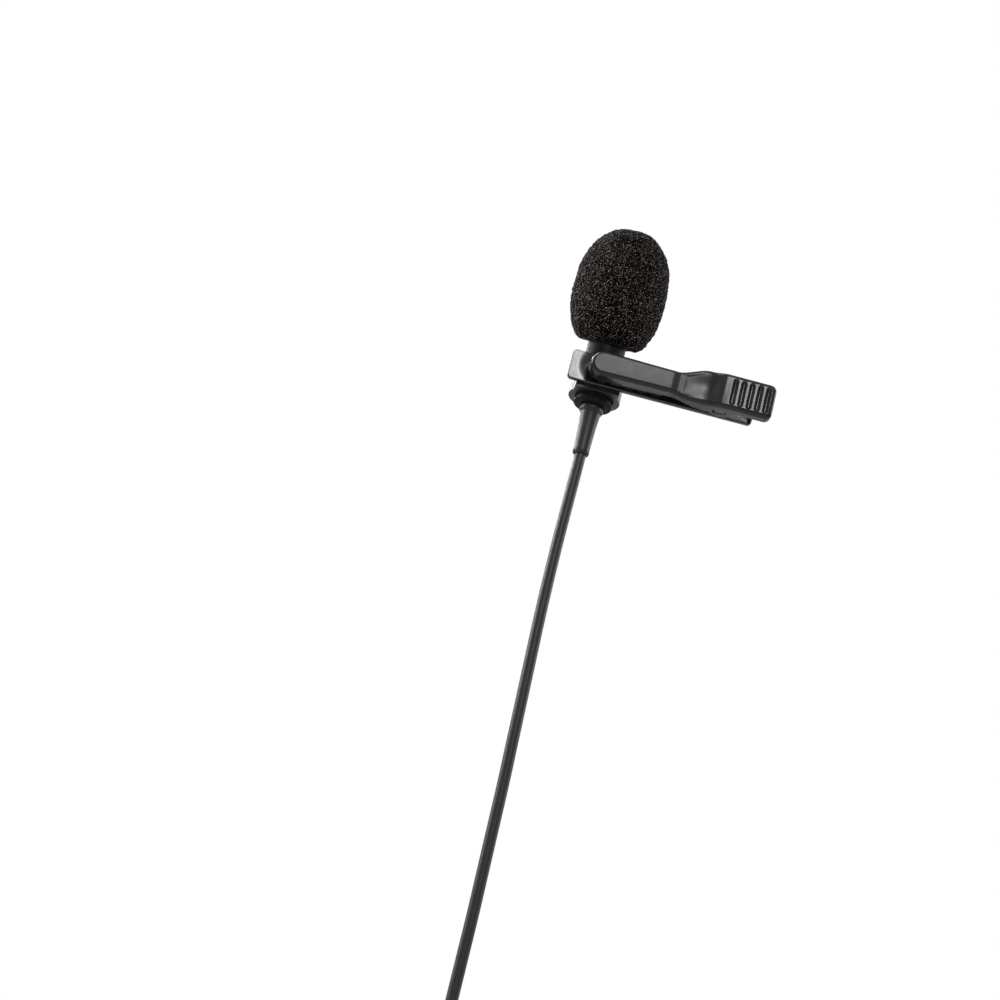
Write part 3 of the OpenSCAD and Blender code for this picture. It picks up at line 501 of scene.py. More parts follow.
def open_cell(name, colour, pore):
    """Open-cell foam: pores painted nearly black as shade between fine struts, and painted glints on some
    strut ends.
    """
    tree = finish_tree(name)
    wander = tree.noise(pore * 9, 2, 0.5)
    cell = tree.cells(pore)
    strut_end = 1 - cell.step(0.08, 0.44)
    # Painted glints: noise picks strut ends to be coloured bright, as if they faced the light.
    painted_glint = tree.noise(pore * 1.4, 1, 0.5).step(0.4, 0.68)
    # Painted shade and painted glints: a hundredth of the foam's colour in the pores, up to 5.5 times it on
    # the picked strut ends.
    painted_glint_and_shade = strut_end * (0.03 + painted_glint) * (0.6 + wander * 0.8)
    return tree.finish(
        tree.tint(painted_glint_and_shade, colour, 0.01, 5.5),
        0.95 - strut_end * 0.15,
        tree.bump(cell, 0.08 * MM),
        {"Specular IOR Level": 0.01, "Sheen Weight": 0.08, "Sheen Roughness": 0.4},
    )


def circuit_board(name, colour):
    """Glass-fibre board under a green mask."""
    tree = finish_tree(name)
    weave = tree.bands(0.35 * MM, "X") * tree.bands(0.35 * MM, "Y")
    cloud = tree.noise(1 * MM, 3, 0.6)
    return tree.finish(
        tree.tint(weave * 0.5 + cloud * 0.3, colour, 0.7, 1.3),
        0.3 + cloud * 0.12,
        tree.bump(weave, 0.006 * MM),
        {"Coat Weight": 0.4, "Coat Roughness": 0.15},
    )


def cord_jacket(name, colour):
    """Extruded jacket: satin, with long faint draw marks."""
    tree = finish_tree(name)
    drawn = tree.noise(0.5 * MM, 3, 0.6, tree.place((1, 1, 0.05)))
    fine = tree.noise(0.09 * MM, 2, 0.5)
    scuff = tree.noise(3 * MM, 5, 0.7)
    return tree.finish(
        tree.tint(scuff.step(0.4, 0.8), colour, 0.85, 1.4),
        0.36 + scuff * 0.1 + fine * 0.06,
        tree.bump(drawn * 0.6 + fine * 0.4, 0.002 * MM),
        {"Specular IOR Level": 0.2},
    )


def floor_finish(name, colour, glow=0.75):
    """Smooth pale board with a trace of grain. To the camera it is pale also where no lamp reaches, and it
    keeps the object's shadow."""
    tree = finish_tree(name)
    grain = tree.noise(2 * MM, 3, 0.6)
    looks = {
        "Base Color": tree.tint(grain, colour, 0.985, 1.0),
        "Roughness": 0.7 + grain * 0.05,
        "Specular IOR Level": 0.2,
    }
    board = tree.add("ShaderNodeBsdfPrincipled", inputs=looks)
    pale = tree.add("ShaderNodeEmission", inputs={"Color": (*shade(colour, 1.12), 1)})
    seen = tree.add("ShaderNodeLightPath", output="Is Camera Ray")
    both = tree.add("ShaderNodeMixShader", inputs={0: seen * glow, 1: board, 2: pale})
    tree.close("ShaderNodeOutputMaterial", both)
    return tree.owner


def lit_surroundings(world, strength):
    """White where it is seen, mirrored or looked through, and an even grey light elsewhere."""
    tree = Tree(world)
    rays = ("Is Camera Ray", "Is Glossy Ray", "Is Transmission Ray")
    camera, glossy, through = (tree.add("ShaderNodeLightPath", output=ray) for ray in rays)
    seen = tree.math("MAXIMUM", tree.math("MAXIMUM", camera, glossy), through)
    level = strength + seen * (1 - strength)
    background = tree.add("ShaderNodeBackground", inputs={"Color": (1, 1, 1, 1), "Strength": level})
    tree.close("ShaderNodeOutputWorld", background)


# ---- Meshes ----

# Points this near count as one, in a mesh made here and in a node's own, whose flat faces are joined.
SAME_POINT, SAME_CAD_POINT = 1e-7, 2e-6
FLAT_ANGLE = radians(0.4)
# How sharp an edge has to be to be rounded, and to stay sharp in the shading.
ROUNDED_ANGLE, SHARP_ANGLE = radians(30), radians(40)
ROUNDED_SEGMENTS, FLAT_FACE_WEIGHT = 2, 80


def smooth(t):
    """0 below 0, 1 above 1 and smooth between them."""
    t = min(1.0, max(0.0, t))
    return t * t * (3 - 2 * t)


def placed(name, data):
    """A new object in the scene."""
    made = bpy.data.objects.new(name, data)
    bpy.context.scene.collection.objects.link(made)
    return made


def meshed(name, points, faces, materials, smooth_to=SHARP_ANGLE):
    """A mesh object, smooth but for edges sharper than that angle."""
    mesh = bpy.data.meshes.new(name)
    mesh.from_pydata([tuple(p) for p in points], [], faces)
    mesh.validate()
    for material in materials:
        mesh.materials.append(material)
    mesh.shade_smooth()
    mesh.set_sharp_from_angle(angle=smooth_to)
    made = placed(name, mesh)
    return made


def tidied(made):
    """Turns the faces outwards and closes up double points."""
    work = bmesh.new()
    work.from_mesh(made.data)
    bmesh.ops.remove_doubles(work, verts=work.verts, dist=SAME_POINT)
    bmesh.ops.recalc_face_normals(work, faces=work.faces)
    work.to_mesh(made.data)
    work.free()
    return made


def applied(made):
    """Turns the object's modifiers into its mesh."""
    bpy.context.view_layer.update()
    graph = bpy.context.evaluated_depsgraph_get()
    mesh = bpy.data.meshes.new_from_object(made.evaluated_get(graph))
    old = made.data
    made.modifiers.clear()
    made.data = mesh
    mesh.name = made.name
    bpy.data.meshes.remove(old)


def eased(node, name, body, materials, width, shape=None):
    """A node's form with its edges rounded, which stands for the node. shape may work on its mesh before."""
    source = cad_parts[node].data
    points = [v.co.copy() for v in source.vertices]
    faces = [tuple(p.vertices) for p in source.polygons]
    mesh = bpy.data.meshes.new(name)
    mesh.from_pydata(points, [], faces)
    work = bmesh.new()
    work.from_mesh(mesh)
    bmesh.ops.remove_doubles(work, verts=work.verts, dist=SAME_CAD_POINT)
    bmesh.ops.dissolve_limit(work, angle_limit=FLAT_ANGLE, verts=work.verts, edges=work.edges)
    if shape:
        shape(work)
    work.to_mesh(mesh)
    work.free()
    for material in materials:
        mesh.materials.append(material)
    mesh.shade_smooth()
    made = placed(name, mesh)
    bevel = made.modifiers.new("edges", "BEVEL")
    bevel.width = width
    bevel.segments = ROUNDED_SEGMENTS
    bevel.limit_method = "ANGLE"
    bevel.angle_limit = ROUNDED_ANGLE
    bevel.material = len(materials) - 1
    weight = made.modifiers.new("shading", "WEIGHTED_NORMAL")
    weight.keep_sharp = True
    weight.weight = FLAT_FACE_WEIGHT
    applied(made)
    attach(made, body)
    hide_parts(node)


def saddle_face(x):
    """How far the front lever's face stands out at x, from the saddle to the grip."""
    if x < RAMP_X:
        return SADDLE_H + (RAMP_H - SADDLE_H) * smooth((x - SADDLE_X) / (RAMP_X - SADDLE_X))
    return RAMP_H + (GRIP_H - RAMP_H) * smooth((x - RAMP_X) / (GRIP_X - RAMP_X))


def sliced(work, geometry, point, normal):
    """Cuts the geometry along a plane."""
    bmesh.ops.bisect_plane(work, geom=geometry, dist=SAME_POINT, plane_co=point, plane_no=normal)


def dished(work):
    """Cuts the saddle's face into a fine grid and hollows it for a thumb."""
    first, last = DISH_X
    narrow, wide = DISH_HALF_W
    for k in range(int((last - first) / DISH_GRID) + 2):
        every = work.verts[:] + work.edges[:] + work.faces[:]
        sliced(work, every, (first + k * DISH_GRID, 0, 0), (1, 0, 0))
    count = int(wide / DISH_GRID) + 1
    for k in range(-count, count + 1):
        faces = [f for f in work.faces if f.normal.y < FACE_NORMAL_Y]
        faces = [f for f in faces if first < f.calc_center_median().x < last]
        edges = {e for f in faces for e in f.edges}
        verts = {v for f in faces for v in f.verts}
        sliced(work, [*verts, *edges, *faces], (0, 0, k * DISH_GRID), (0, 0, 1))
    for vertex in work.verts:
        x, y, z = vertex.co
        share = (x - first) / (last - first)
        if not 0 < share < 1 or -y < saddle_face(x) - FACE_NEAR:
            continue
        half = narrow + (wide - narrow) * smooth(share * DISH_WIDENS)
        if abs(z) < half and x > SADDLE_X:
            across = (1 - (z / half) ** 2) ** 2
            along = smooth(share * DISH_SINKS) * smooth((1 - share) * DISH_RUNS_OUT)
            hollow = -(saddle_face(x) - DISH_DEPTH * across * along)
            vertex.co.y += (hollow - y) * smooth((x - SADDLE_X) / DISH_BLEND)


def swept(name, path, section, materials, start_side):
    """A section swept along a path with as little twist as it allows. section holds points, or a function of
    the share of the path that gives them."""
    path = [Vector(p) for p in path]
    last = len(path) - 1
    side = Vector(start_side)
    points = []
    for i, at in enumerate(path):
        along = (path[min(i + 1, last)] - path[max(i - 1, 0)]).normalized()
        side = (side - along * side.dot(along)).normalized()
        up = along.cross(side)
        outline = section(i / last) if callable(section) else section
        points += [at + side * x + up * y for x, y in outline]
    count = len(points) // len(path)
    faces = []
    for i in range(0, last * count, count):
        for k in range(count):
            after = (k + 1) % count
            faces.append((i + k, i + after, i + count + after, i + count + k))
    faces.append(tuple(range(count - 1, -1, -1)))
    faces.append(tuple(last * count + k for k in range(count)))
    return tidied(meshed(name, points, faces, materials))


def circle(radius, sides):
    turn = 2 * pi / sides
    return [(radius * cos(turn * k), radius * sin(turn * k)) for k in range(sides)]


def bent(points, steps):
    """More points along a smooth curve through the points."""
    points = [Vector(p) for p in points]
    last = len(points) - 1
    made = []
    for i in range(last):
        a, b, c, d = (points[max(i - 1, 0)], points[i], points[i + 1], points[min(i + 2, last)])
        for k in range(steps):
            t = k / steps
            square = 2 * a - 5 * b + 4 * c - d
            cube = 3 * b - a - 3 * c + d
            made.append(0.5 * (2 * b + (c - a) * t + square * t * t + cube * t**3))
    return made + [points[-1]]


def stepped(line, step):
    """The same corners with more points between them, about one at each step."""
    made = []
    for (x0, y0), (x1, y1) in zip(line, line[1:]):
        steps = max(1, int(hypot(x1 - x0, y1 - y0) / step))
        made += [(x0 + (x1 - x0) * k / steps, y0 + (y1 - y0) * k / steps) for k in range(steps)]
    return made + [line[-1]]


def resampled(line, count):
    """The same line in count points at even distances."""
    lengths = [0.0]
    for (x0, y0), (x1, y1) in zip(line, line[1:]):
        lengths.append(lengths[-1] + hypot(x1 - x0, y1 - y0))
    made = []
    j = 0
    for k in range(count):
        want = lengths[-1] * k / (count - 1)
        while j < len(line) - 2 and lengths[j + 1] < want:
            j += 1
        span = lengths[j + 1] - lengths[j]
        s = (want - lengths[j]) / span if span > 0 else 0
        made.append([line[j][n] + (line[j + 1][n] - line[j][n]) * s for n in (0, 1)])
    return made


# ---- The cord's route, as in the frame ----

# The drop's points, in millimetres from the strain relief's foot.
DROP_ROUTE = [
    (0, -3), (-0.1, -9), (-0.2, -17), (-0.2, -25), (-0.1, -33), (0.1, -41), (0.3, -49),
    (0.5, -57), (0.7, -65), (0.8, -73), (0.9, -81), (1, -89), (1, -97), (1, -105), (1, -111),
    (1, -116), (1.9, -120.5), (4.4, -124.3),
]  # fmt: skip
COIL_CENTRE = (3 * MM, -143 * MM)
COIL_MID_D = 24 * MM
COIL_PITCH = 2.7 * MM
COIL_LOOPS = 14
COIL_IN = radians(25)
COIL_OUT = radians(90)
LAYERS = 4
CLIMB_TURNS = 0.5

# Steps between two of the drop's points, round one loop and down the tail, the share of a turn that gives the
# coil's direction at its entry, and the cord's sides.
DROP_STEPS, LOOP_STEPS, TAIL_STEPS = 3, 36, 4
ENTRY_TURN = 0.004
CORD_SIDES = 14

COIL_TURNS = COIL_LOOPS + (COIL_OUT - COIL_IN) / (2 * pi)
LAYER_TURNS = COIL_TURNS / LAYERS
COIL_BAND = COIL_PITCH * LAYER_TURNS
COIL_R_OUT = COIL_MID_D / 2 + COIL_BAND / 2
COIL_R_IN = COIL_MID_D / 2 - COIL_BAND / 2
COIL_X = MIC_X + COIL_CENTRE[0]
COIL_Z = RELIEF_LOW + COIL_CENTRE[1]


def coil_at(turns):
    """The coil's centreline after that many turns, clockwise from its entry."""
    layer = int(turns // LAYER_TURNS)
    share = turns / LAYER_TURNS - layer
    if layer % 2:
        share = 1 - share
    radius = COIL_R_OUT + (COIL_R_IN - COIL_R_OUT) * share
    climbed = sum(smooth((turns - k * LAYER_TURNS) / CLIMB_TURNS + 0.5) for k in range(1, LAYERS))
    angle = COIL_IN + 2 * pi * turns
    x = COIL_X + radius * sin(angle)
    z = COIL_Z + radius * cos(angle)
    return Vector((x, MIC_Y + COIL_PITCH * climbed, z))


def cord_path(cord_d):
    """From the strain relief down to the coil, round it, and down to the plug's boot."""
    start = coil_at(0)
    lead = (coil_at(ENTRY_TURN) - start).normalized()
    entry = start - lead * cord_d
    drop = [(MIC_X, MIC_Y, RELIEF_LOW)]
    drop += [(MIC_X + x * MM, MIC_Y, RELIEF_LOW + z * MM) for x, z in DROP_ROUTE]
    path = bent(drop, DROP_STEPS)
    path += [entry - lead * cord_d / 2, entry]
    path += [coil_at(i / LOOP_STEPS) for i in range(int(COIL_TURNS * LOOP_STEPS))]
    tail_top = COIL_Z - cord_d
    heights = [COIL_Z, COIL_Z - cord_d / 2]
    heights += [tail_top + (BOOT_TOP - tail_top) * k / TAIL_STEPS for k in range(TAIL_STEPS + 1)]
    return path + [Vector((PLUG_X, PLUG_Y, z)) for z in heights]


# ---- The strap round the coil ----

TIE_TILT = radians(57)
TIE_W, TIE_T = 7 * MM, 0.9 * MM
# The room round the cord, how far the strap bows into the coil's eye, and its corners.
TIE_CLEAR, TIE_BOW, TIE_CORNER = 0.3 * MM, 0.9 * MM, 1.2 * MM
# Where the strap starts, and where its end lies down, rises and stops, from the bundle's middle. How far out
# the last two lie, in strap thicknesses.
TIE_START, TIE_DOWN, TIE_OVER, TIE_END = 3 * MM, -4 * MM, 1 * MM, 6.5 * MM
OVER_OUT, END_OUT = 1.25, 1.3
TIE_STEP = 0.7 * MM
TIE_CORNER_STEPS = 8
# The strap's soft edges, its thinning there and its swell, the part of half its width that its rounded end
# takes, and the square of what is left at the very end.
TIE_SOFT = 0.25 * MM
TIE_THINNER, TIE_SWELL, TIE_ROUND_END, TIE_BLUNT = 0.92, 1.03, 0.8, 0.06


def strap_loop(low, high, front, back):
    """The strap's middle line round the bundle: corner arcs, from the front's outer end to its inner one."""
    grow = TIE_T / 2
    bend = TIE_CORNER + grow
    inner, outer = low - grow + bend, high + grow - bend
    near, far = front - grow + bend, back + grow - bend
    line = []
    for u, v, first in ((outer, near, 270), (outer, far, 0), (inner, far, 90), (inner, near, 180)):
        for k in range(TIE_CORNER_STEPS + 1):
            angle = radians(first + 90 * k / TIE_CORNER_STEPS)
            line.append((u + bend * cos(angle), v + bend * sin(angle)))
    return line


def strap_section(left):
    """The strap's flat outline that far from its end, which is rounded off."""
    half, soft = TIE_W / 2, TIE_SOFT
    round_end = half * TIE_ROUND_END
    if left < round_end:
        half *= sqrt(max(TIE_BLUNT, 1 - (1 - left / round_end) ** 2))
    t = TIE_T / 2 * TIE_THINNER
    swell = t * TIE_SWELL
    return [
        (half, t - soft), (half - soft, t), (half / 2, swell), (0, t), (-half / 2, swell),
        (soft - half, t), (-half, t - soft), (-half, soft - t), (soft - half, -t), (0, -t),
        (half - soft, -t), (half, soft - t),
    ]  # fmt: skip


# ---- The foam's form ----

# The foam's length below its widest place, as a share of that above.
MOUTH_SHARE = 0.83
# The room round the barrel and above the grille, the thinnest lip, and the mouth's rounding, at most a part
# of it.
BORE_ROOM, BORE_OVER, THIN_LIP = 0.06 * MM, 0.25 * MM, 0.5 * MM
LIP_ROUND, LIP_PART = 1.0 * MM, 0.7
FOAM_SIDES = 400
# Rows of points down the outside, round the lip, across the mouth and up the bore, and once spread evenly.
OUTER_ROWS, LIP_ROWS, MOUTH_ROWS, BORE_ROWS, FOAM_ROWS = 132, 10, 8, 8, 260
# How many halvings find the mouth, and where they start.
MOUTH_HALVINGS, MOUTH_LOWEST = 40, -0.9999
# How far a cell's middle lies under the mean, and the wide swell under the tufts, in their size and depth.
TUFT_MEAN, SWELL_SIZE, SWELL_DEPTH = 0.62, 7, 0.5
# How far from the bore the tufts start, outwards and upwards.
SMOOTH_ROUND, SMOOTH_OVER = 0.4 * MM, 0.3 * MM


class FoamForm:
    """The foam in a plane through its axis. t is a place on its outside, from -1 at its foot to 1 on top."""

    def __init__(self, wish):
        self.half_width = wish.width / 2
        self.power = wish.roundness
        self.half = wish.length / (1 + MOUTH_SHARE)
        self.mouth_z = BARREL_TOP - wish.bite
        self.middle_z = self.mouth_z + wish.length - self.half
        self.bore = BARREL_R + BORE_ROOM
        self.bore_top = BARREL_TOP + BORE_OVER

    def radius(self, t):
        least = self.bore + THIN_LIP if t < 0 else 0.0
        return max(least, self.half_width * max(0.0, 1 - abs(t) ** self.power) ** (1 / self.power))

    def height(self, t):
        return self.middle_z + self.half * t

    def mouth(self, lean):
        """Where the outside meets the mouth, which rises by lean towards the outside."""
        low, high = MOUTH_LOWEST, 0.0
        for _ in range(MOUTH_HALVINGS):
            t = (low + high) / 2
            if self.height(t) < self.mouth_z + lean * self.radius(t):
                low = t
            else:
                high = t
        return high

    def lip(self, begin, corner, end):
        """A curve that rounds off the corner."""
        line = []
        for k in range(1, LIP_ROWS + 1):
            s = k / LIP_ROWS
            a, b, c = (1 - s) ** 2, 2 * s * (1 - s), s * s
            line.append([a * begin[j] + b * corner[j] + c * end[j] for j in (0, 1)])
        return line

    def meridian(self, lean):
        """Radius and height of points down the outside, across the mouth and up the bore."""
        rim = self.mouth(lean)
        rim_r = self.radius(rim)
        outer = []
        for k in range(OUTER_ROWS + 1):
            t = cos(acos(rim) * k / OUTER_ROWS)
            outer.append((self.radius(t), self.height(t)))
        corner = outer[-1]
        rounded = min(LIP_ROUND, (rim_r - self.bore) * LIP_PART)
        line = [p for p in outer if hypot(p[0] - rim_r, p[1] - corner[1]) > rounded]
        inner_r = rim_r - rounded
        line += self.lip(line[-1], corner, (inner_r, self.mouth_z + lean * inner_r))
        for k in range(1, MOUTH_ROWS + 1):
            r = inner_r + (self.bore - inner_r) * k / MOUTH_ROWS
            line.append((r, self.mouth_z + lean * r))
        foot = line[-1][1]
        for k in range(1, BORE_ROWS + 1):
            line.append((self.bore, foot + (self.bore_top - foot) * k / BORE_ROWS))
        line.append((self.bore / 2, self.bore_top))
        return resampled(line, FOAM_ROWS)


def roughened(made, tuft, depth, bore, bore_top):
    """Presses the foam's cut cells into its outside. The bore stays smooth."""
    mesh = made.data
    normals = [v.normal.copy() for v in mesh.vertices]
    for vertex, normal in zip(mesh.vertices, normals):
        at = vertex.co
        if hypot(at.x - MIC_X, at.y - MIC_Y) < bore and at.z < bore_top:
            continue
        cell = min(noise.voronoi(at / tuft)[0][0], 1.0)
        swell = noise.noise(at / (SWELL_SIZE * tuft))
        vertex.co = at + normal * (depth * (cell - TUFT_MEAN) + depth * SWELL_DEPTH * swell)
    mesh.update()


# ---- The camera and the lamps ----

# The camera's sensor in millimetres, and how near and far it sees.
SENSOR_W = 36
VIEW_RANGE = (0.01, 50)
FLOOR_R, FLOOR_SIDES, FLOOR_DROP = 6.0, 96, 10 * MM
LAMPS_AIM = Vector((10 * MM, -3 * MM, 0))
# Each softbox's direction from there, distance, size and brightness. The key's brightness is a setting.
KEY_LAMP = ((0.055, -0.866, 0.5), 0.6, (0.113, 0.162))
LAMPS = {
    "left": ((-0.89, 0.16, 0.42), 0.7, (0.2, 0.35), 30.0),
    "rim": ((-0.55, 0.7, 0.5), 0.7, (0.2, 0.2), 24.0),
    "top": ((-0.55, 0.15, 0.8), 0.6, (0.2, 0.2), 14.0),
    "right": ((0.9, 0.15, 0.42), 0.7, (0.15, 0.3), 16.0),
    "low": ((0.5, -0.5, -0.5), 0.6, (0.06, 0.2), 8.0),
    "back": ((0.5, 0.75, 0.45), 0.8, (0.4, 0.3), 3.0),
}


def softbox(name, direction, distance, size, brightness):
    """A rectangular lamp that faces the lamps' aim, as bright all over as brightness."""
    data = bpy.data.lights.new(name, "AREA")
    data.shape = "RECTANGLE"
    data.size, data.size_y = size
    data.energy = brightness * pi * size[0] * size[1]
    made = placed(name, data)
    way = Vector(direction).normalized()
    made.location = LAMPS_AIM + way * distance
    made.rotation_mode = "QUATERNION"
    made.rotation_quaternion = way.to_track_quat("Z", "Y")


# ---- Operators ----


class LAVALIER_OT_camera(bpy.types.Operator):
    """Place the camera, from below and a little to the left of the clip"""

    bl_idname = "lavalier.camera"
    bl_label = "Camera"

    def execute(self, context):
        wish = context.scene.lavalier_camera
        data = bpy.data.cameras.new("camera")
        data.lens = wish.lens
        data.sensor_width = SENSOR_W
        data.clip_start, data.clip_end = VIEW_RANGE
        made = placed("camera", data)
        place = Vector(wish.place)
        back = (place - Vector(wish.aim)).normalized()
        right = Vector((0, 0, 1)).cross(back).normalized()
        up = back.cross(right)
        turned_right = right * cos(wish.roll) + up * sin(wish.roll)
        turned_up = up * cos(wish.roll) - right * sin(wish.roll)
        axes = Matrix((turned_right, turned_up, back)).transposed()
        made.matrix_world = Matrix.Translation(place) @ axes.to_4x4()
        context.scene.camera = made
        return {"FINISHED"}


class LAVALIER_OT_cord(bpy.types.Operator):
    """Sweep the cord from the strain relief, round its coil and down to the plug"""

    bl_idname = "lavalier.cord"
    bl_label = "Cord"

    def execute(self, context):
        wish = context.scene.lavalier_cord
        path, outline = cord_path(wish.thickness), circle(wish.thickness / 2, CORD_SIDES)
        jacket = cord_jacket("cord_black", wish.jacket)
        made = swept("cord", path, outline, [jacket], (1, 0, 0))
        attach(made, "microphone")
        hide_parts("cord_drop", "cord_coil", "cord_tail")
        return {"FINISHED"}


class LAVALIER_OT_tie(bpy.types.Operator):
    """Wrap the hook-and-loop strap round the coil, with its end laid over the start"""

    bl_idname = "lavalier.tie"
    bl_label = "Cord tie"

    def execute(self, context):
        radius = context.scene.lavalier_cord.thickness / 2
        low = COIL_R_IN - radius - TIE_BOW - TIE_CLEAR
        high = COIL_R_OUT + radius + TIE_CLEAR
        front = MIC_Y - radius - TIE_CLEAR
        back = MIC_Y + (LAYERS - 1) * COIL_PITCH + radius + TIE_CLEAR
        middle = (low + high) / 2
        line = [
            (middle + TIE_START, front - TIE_T / 2),
            *strap_loop(low, high, front, back),
            (middle + TIE_DOWN, front - TIE_T / 2),
            (middle + TIE_OVER, front - TIE_T * OVER_OUT),
            (middle + TIE_END, front - TIE_T * END_OUT),
        ]
        outward = Vector((sin(TIE_TILT), 0, cos(TIE_TILT)))
        deep = Vector((0, 1, 0))
        centre = Vector((COIL_X, 0, COIL_Z))
        path = [centre + outward * u + deep * v for u, v in stepped(line, TIE_STEP)]
        length = (len(path) - 1) * TIE_STEP

        def section(share):
            return strap_section((1 - share) * length)

        pile = felted("tie_black", (0.02, 0.02, 0.021), 0.16 * MM, 0.06 * MM)
        made = swept("cord_strap", path, section, [pile], outward.cross(deep))
        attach(made, "microphone")
        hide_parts("cord_tie")
        return {"FINISHED"}


class LAVALIER_OT_plug(bpy.types.Operator):
    """Finish the plug: ribbed boot, shell, three contacts and their insulators"""

    bl_idname = "lavalier.plug"
    bl_label = "Plug"

    def execute(self, context):
        shell = moulded("plug_plastic", (0.009, 0.009, 0.009), 0.12 * MM, 0.004 * MM, 0.3)
        rim = edge_wear_and_highlight("plug_edge", (0.01, 0.01, 0.01), 0.22)
        boot = rubber("boot_rubber", (0.008, 0.008, 0.008), 0.45)
        gold = metal("contact_metal", (0.5, 0.43, 0.3), 0.2, (1, 1, 14))
        black = moulded("contact_insulator", (0.012, 0.012, 0.012), 0.1 * MM, 0.002 * MM, 0.25)
        body = "microphone"
        eased("plug_boot", "boot", body, [boot], 0.1 * MM)
        eased("plug_shell", "shell", body, [shell, rim], 0.12 * MM)
        for part in ("sleeve", "ring", "tip"):
            eased("plug_" + part, "jack_" + part, body, [gold], 0.05 * MM)
        eased("plug_insulators", "insulators", body, [black], 0.03 * MM)
        return {"FINISHED"}


class LAVALIER_OT_clip(bpy.types.Operator):
    """Finish the clip's two levers, the holder ring and the riveted pin"""

    bl_idname = "lavalier.clip"
    bl_label = "Clip"

    def execute(self, context):
        wish = context.scene.lavalier_clip
        colour = tuple(wish.plastic)
        front = moulded("clip_plastic", colour, 0.13 * MM, 0.007 * MM, 0.355, 0.18, saddle_form, lever_gloss)
        rear = moulded("plate_plastic", colour, 0.17 * MM, 0.003 * MM, 0.2, 0.25, seat_form)
        edge = edge_wear_and_highlight("clip_edge", colour, 0.26)
        holder = moulded("holder_plastic", shade(colour, 1.1), 0.16 * MM, 0.006 * MM, 0.4)
        steel = metal("pin_steel", (0.045, 0.042, 0.04), 0.32, (1, 1, 8))
        eased("front_lever", "front_jaw", "grip_lever", [front, edge], wish.edge, dished)
        body = "clip_base"
        eased("rear_lever", "rear_plate", body, [rear, edge], wish.edge)
        eased("holder_ring", "holder", body, [holder, edge], wish.edge)
        eased("hinge_pin", "pin", body, [steel], 0.08 * MM)
        return {"FINISHED"}


# Points round the spring's turns and its wire and along its legs, and how far these end inside the node's
# box, in radii of the wire.
TURN_STEPS, WIRE_SIDES = 28, 10
LEG_IN, LEG_OUT = (0, 0.3, 0.6, 0.85), (0.15, 0.4, 0.7, 1)
LEG_INSET = 0.6


class LAVALIER_OT_spring(bpy.types.Operator):
    """Wind the torsion spring round the pin, with one leg on the plate and one under the grip"""

    bl_idname = "lavalier.spring"
    bl_label = "Spring"

    def execute(self, context):
        wish = context.scene.lavalier_clip
        box_low, box_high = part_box("torsion_spring")
        half = wish.wire / 2
        radius = PIN_AT.x - box_low.x - half
        z_low, z_high = box_low.z + half, box_high.z - half
        count = (wish.spring_turns + 0.5) * TURN_STEPS
        wound = []
        for i in range(int(count) + 1):
            angle = 2 * pi * i / TURN_STEPS
            x = PIN_AT.x + radius * sin(angle)
            y = PIN_AT.y + radius * cos(angle)
            wound.append(Vector((x, y, z_low + (z_high - z_low) * i / count)))
        leg_x = box_high.x - half * LEG_INSET
        first = Vector((leg_x, box_high.y - half, z_low))
        final = Vector((leg_x, box_low.y + half, z_high))
        path = [first + (wound[0] - first) * t for t in LEG_IN]
        path += wound
        path += [wound[-1] + (final - wound[-1]) * t for t in LEG_OUT]
        wire = metal("spring_steel", (0.6, 0.6, 0.58), 0.28, (6, 6, 1))
        made = swept("spring", path, circle(half, WIRE_SIDES), [wire], (0, 0, 1))
        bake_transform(made)
        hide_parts("torsion_spring")
        return {"FINISHED"}


class LAVALIER_OT_barrel(bpy.types.Operator):
    """Finish the barrel, its grille cap and end cap, and the strain relief"""

    bl_idname = "lavalier.barrel"
    bl_label = "Barrel"

    def execute(self, context):
        paint = lacquered("barrel_metal", (0.007, 0.0068, 0.007), 0.45)
        cap = lacquered("grille_metal", (0.012, 0.012, 0.0125), 0.38)
        soft = rubber("relief_rubber", (0.008, 0.0078, 0.008), 0.42)
        body = "microphone"
        eased("barrel", "barrel_tube", body, [paint], 0.08 * MM)
        eased("grille_cap", "grille", body, [cap], 0.05 * MM)
        eased("end_cap", "end_plug", body, [paint], 0.05 * MM)
        eased("strain_relief", "relief", body, [soft], 0.1 * MM)
        return {"FINISHED"}


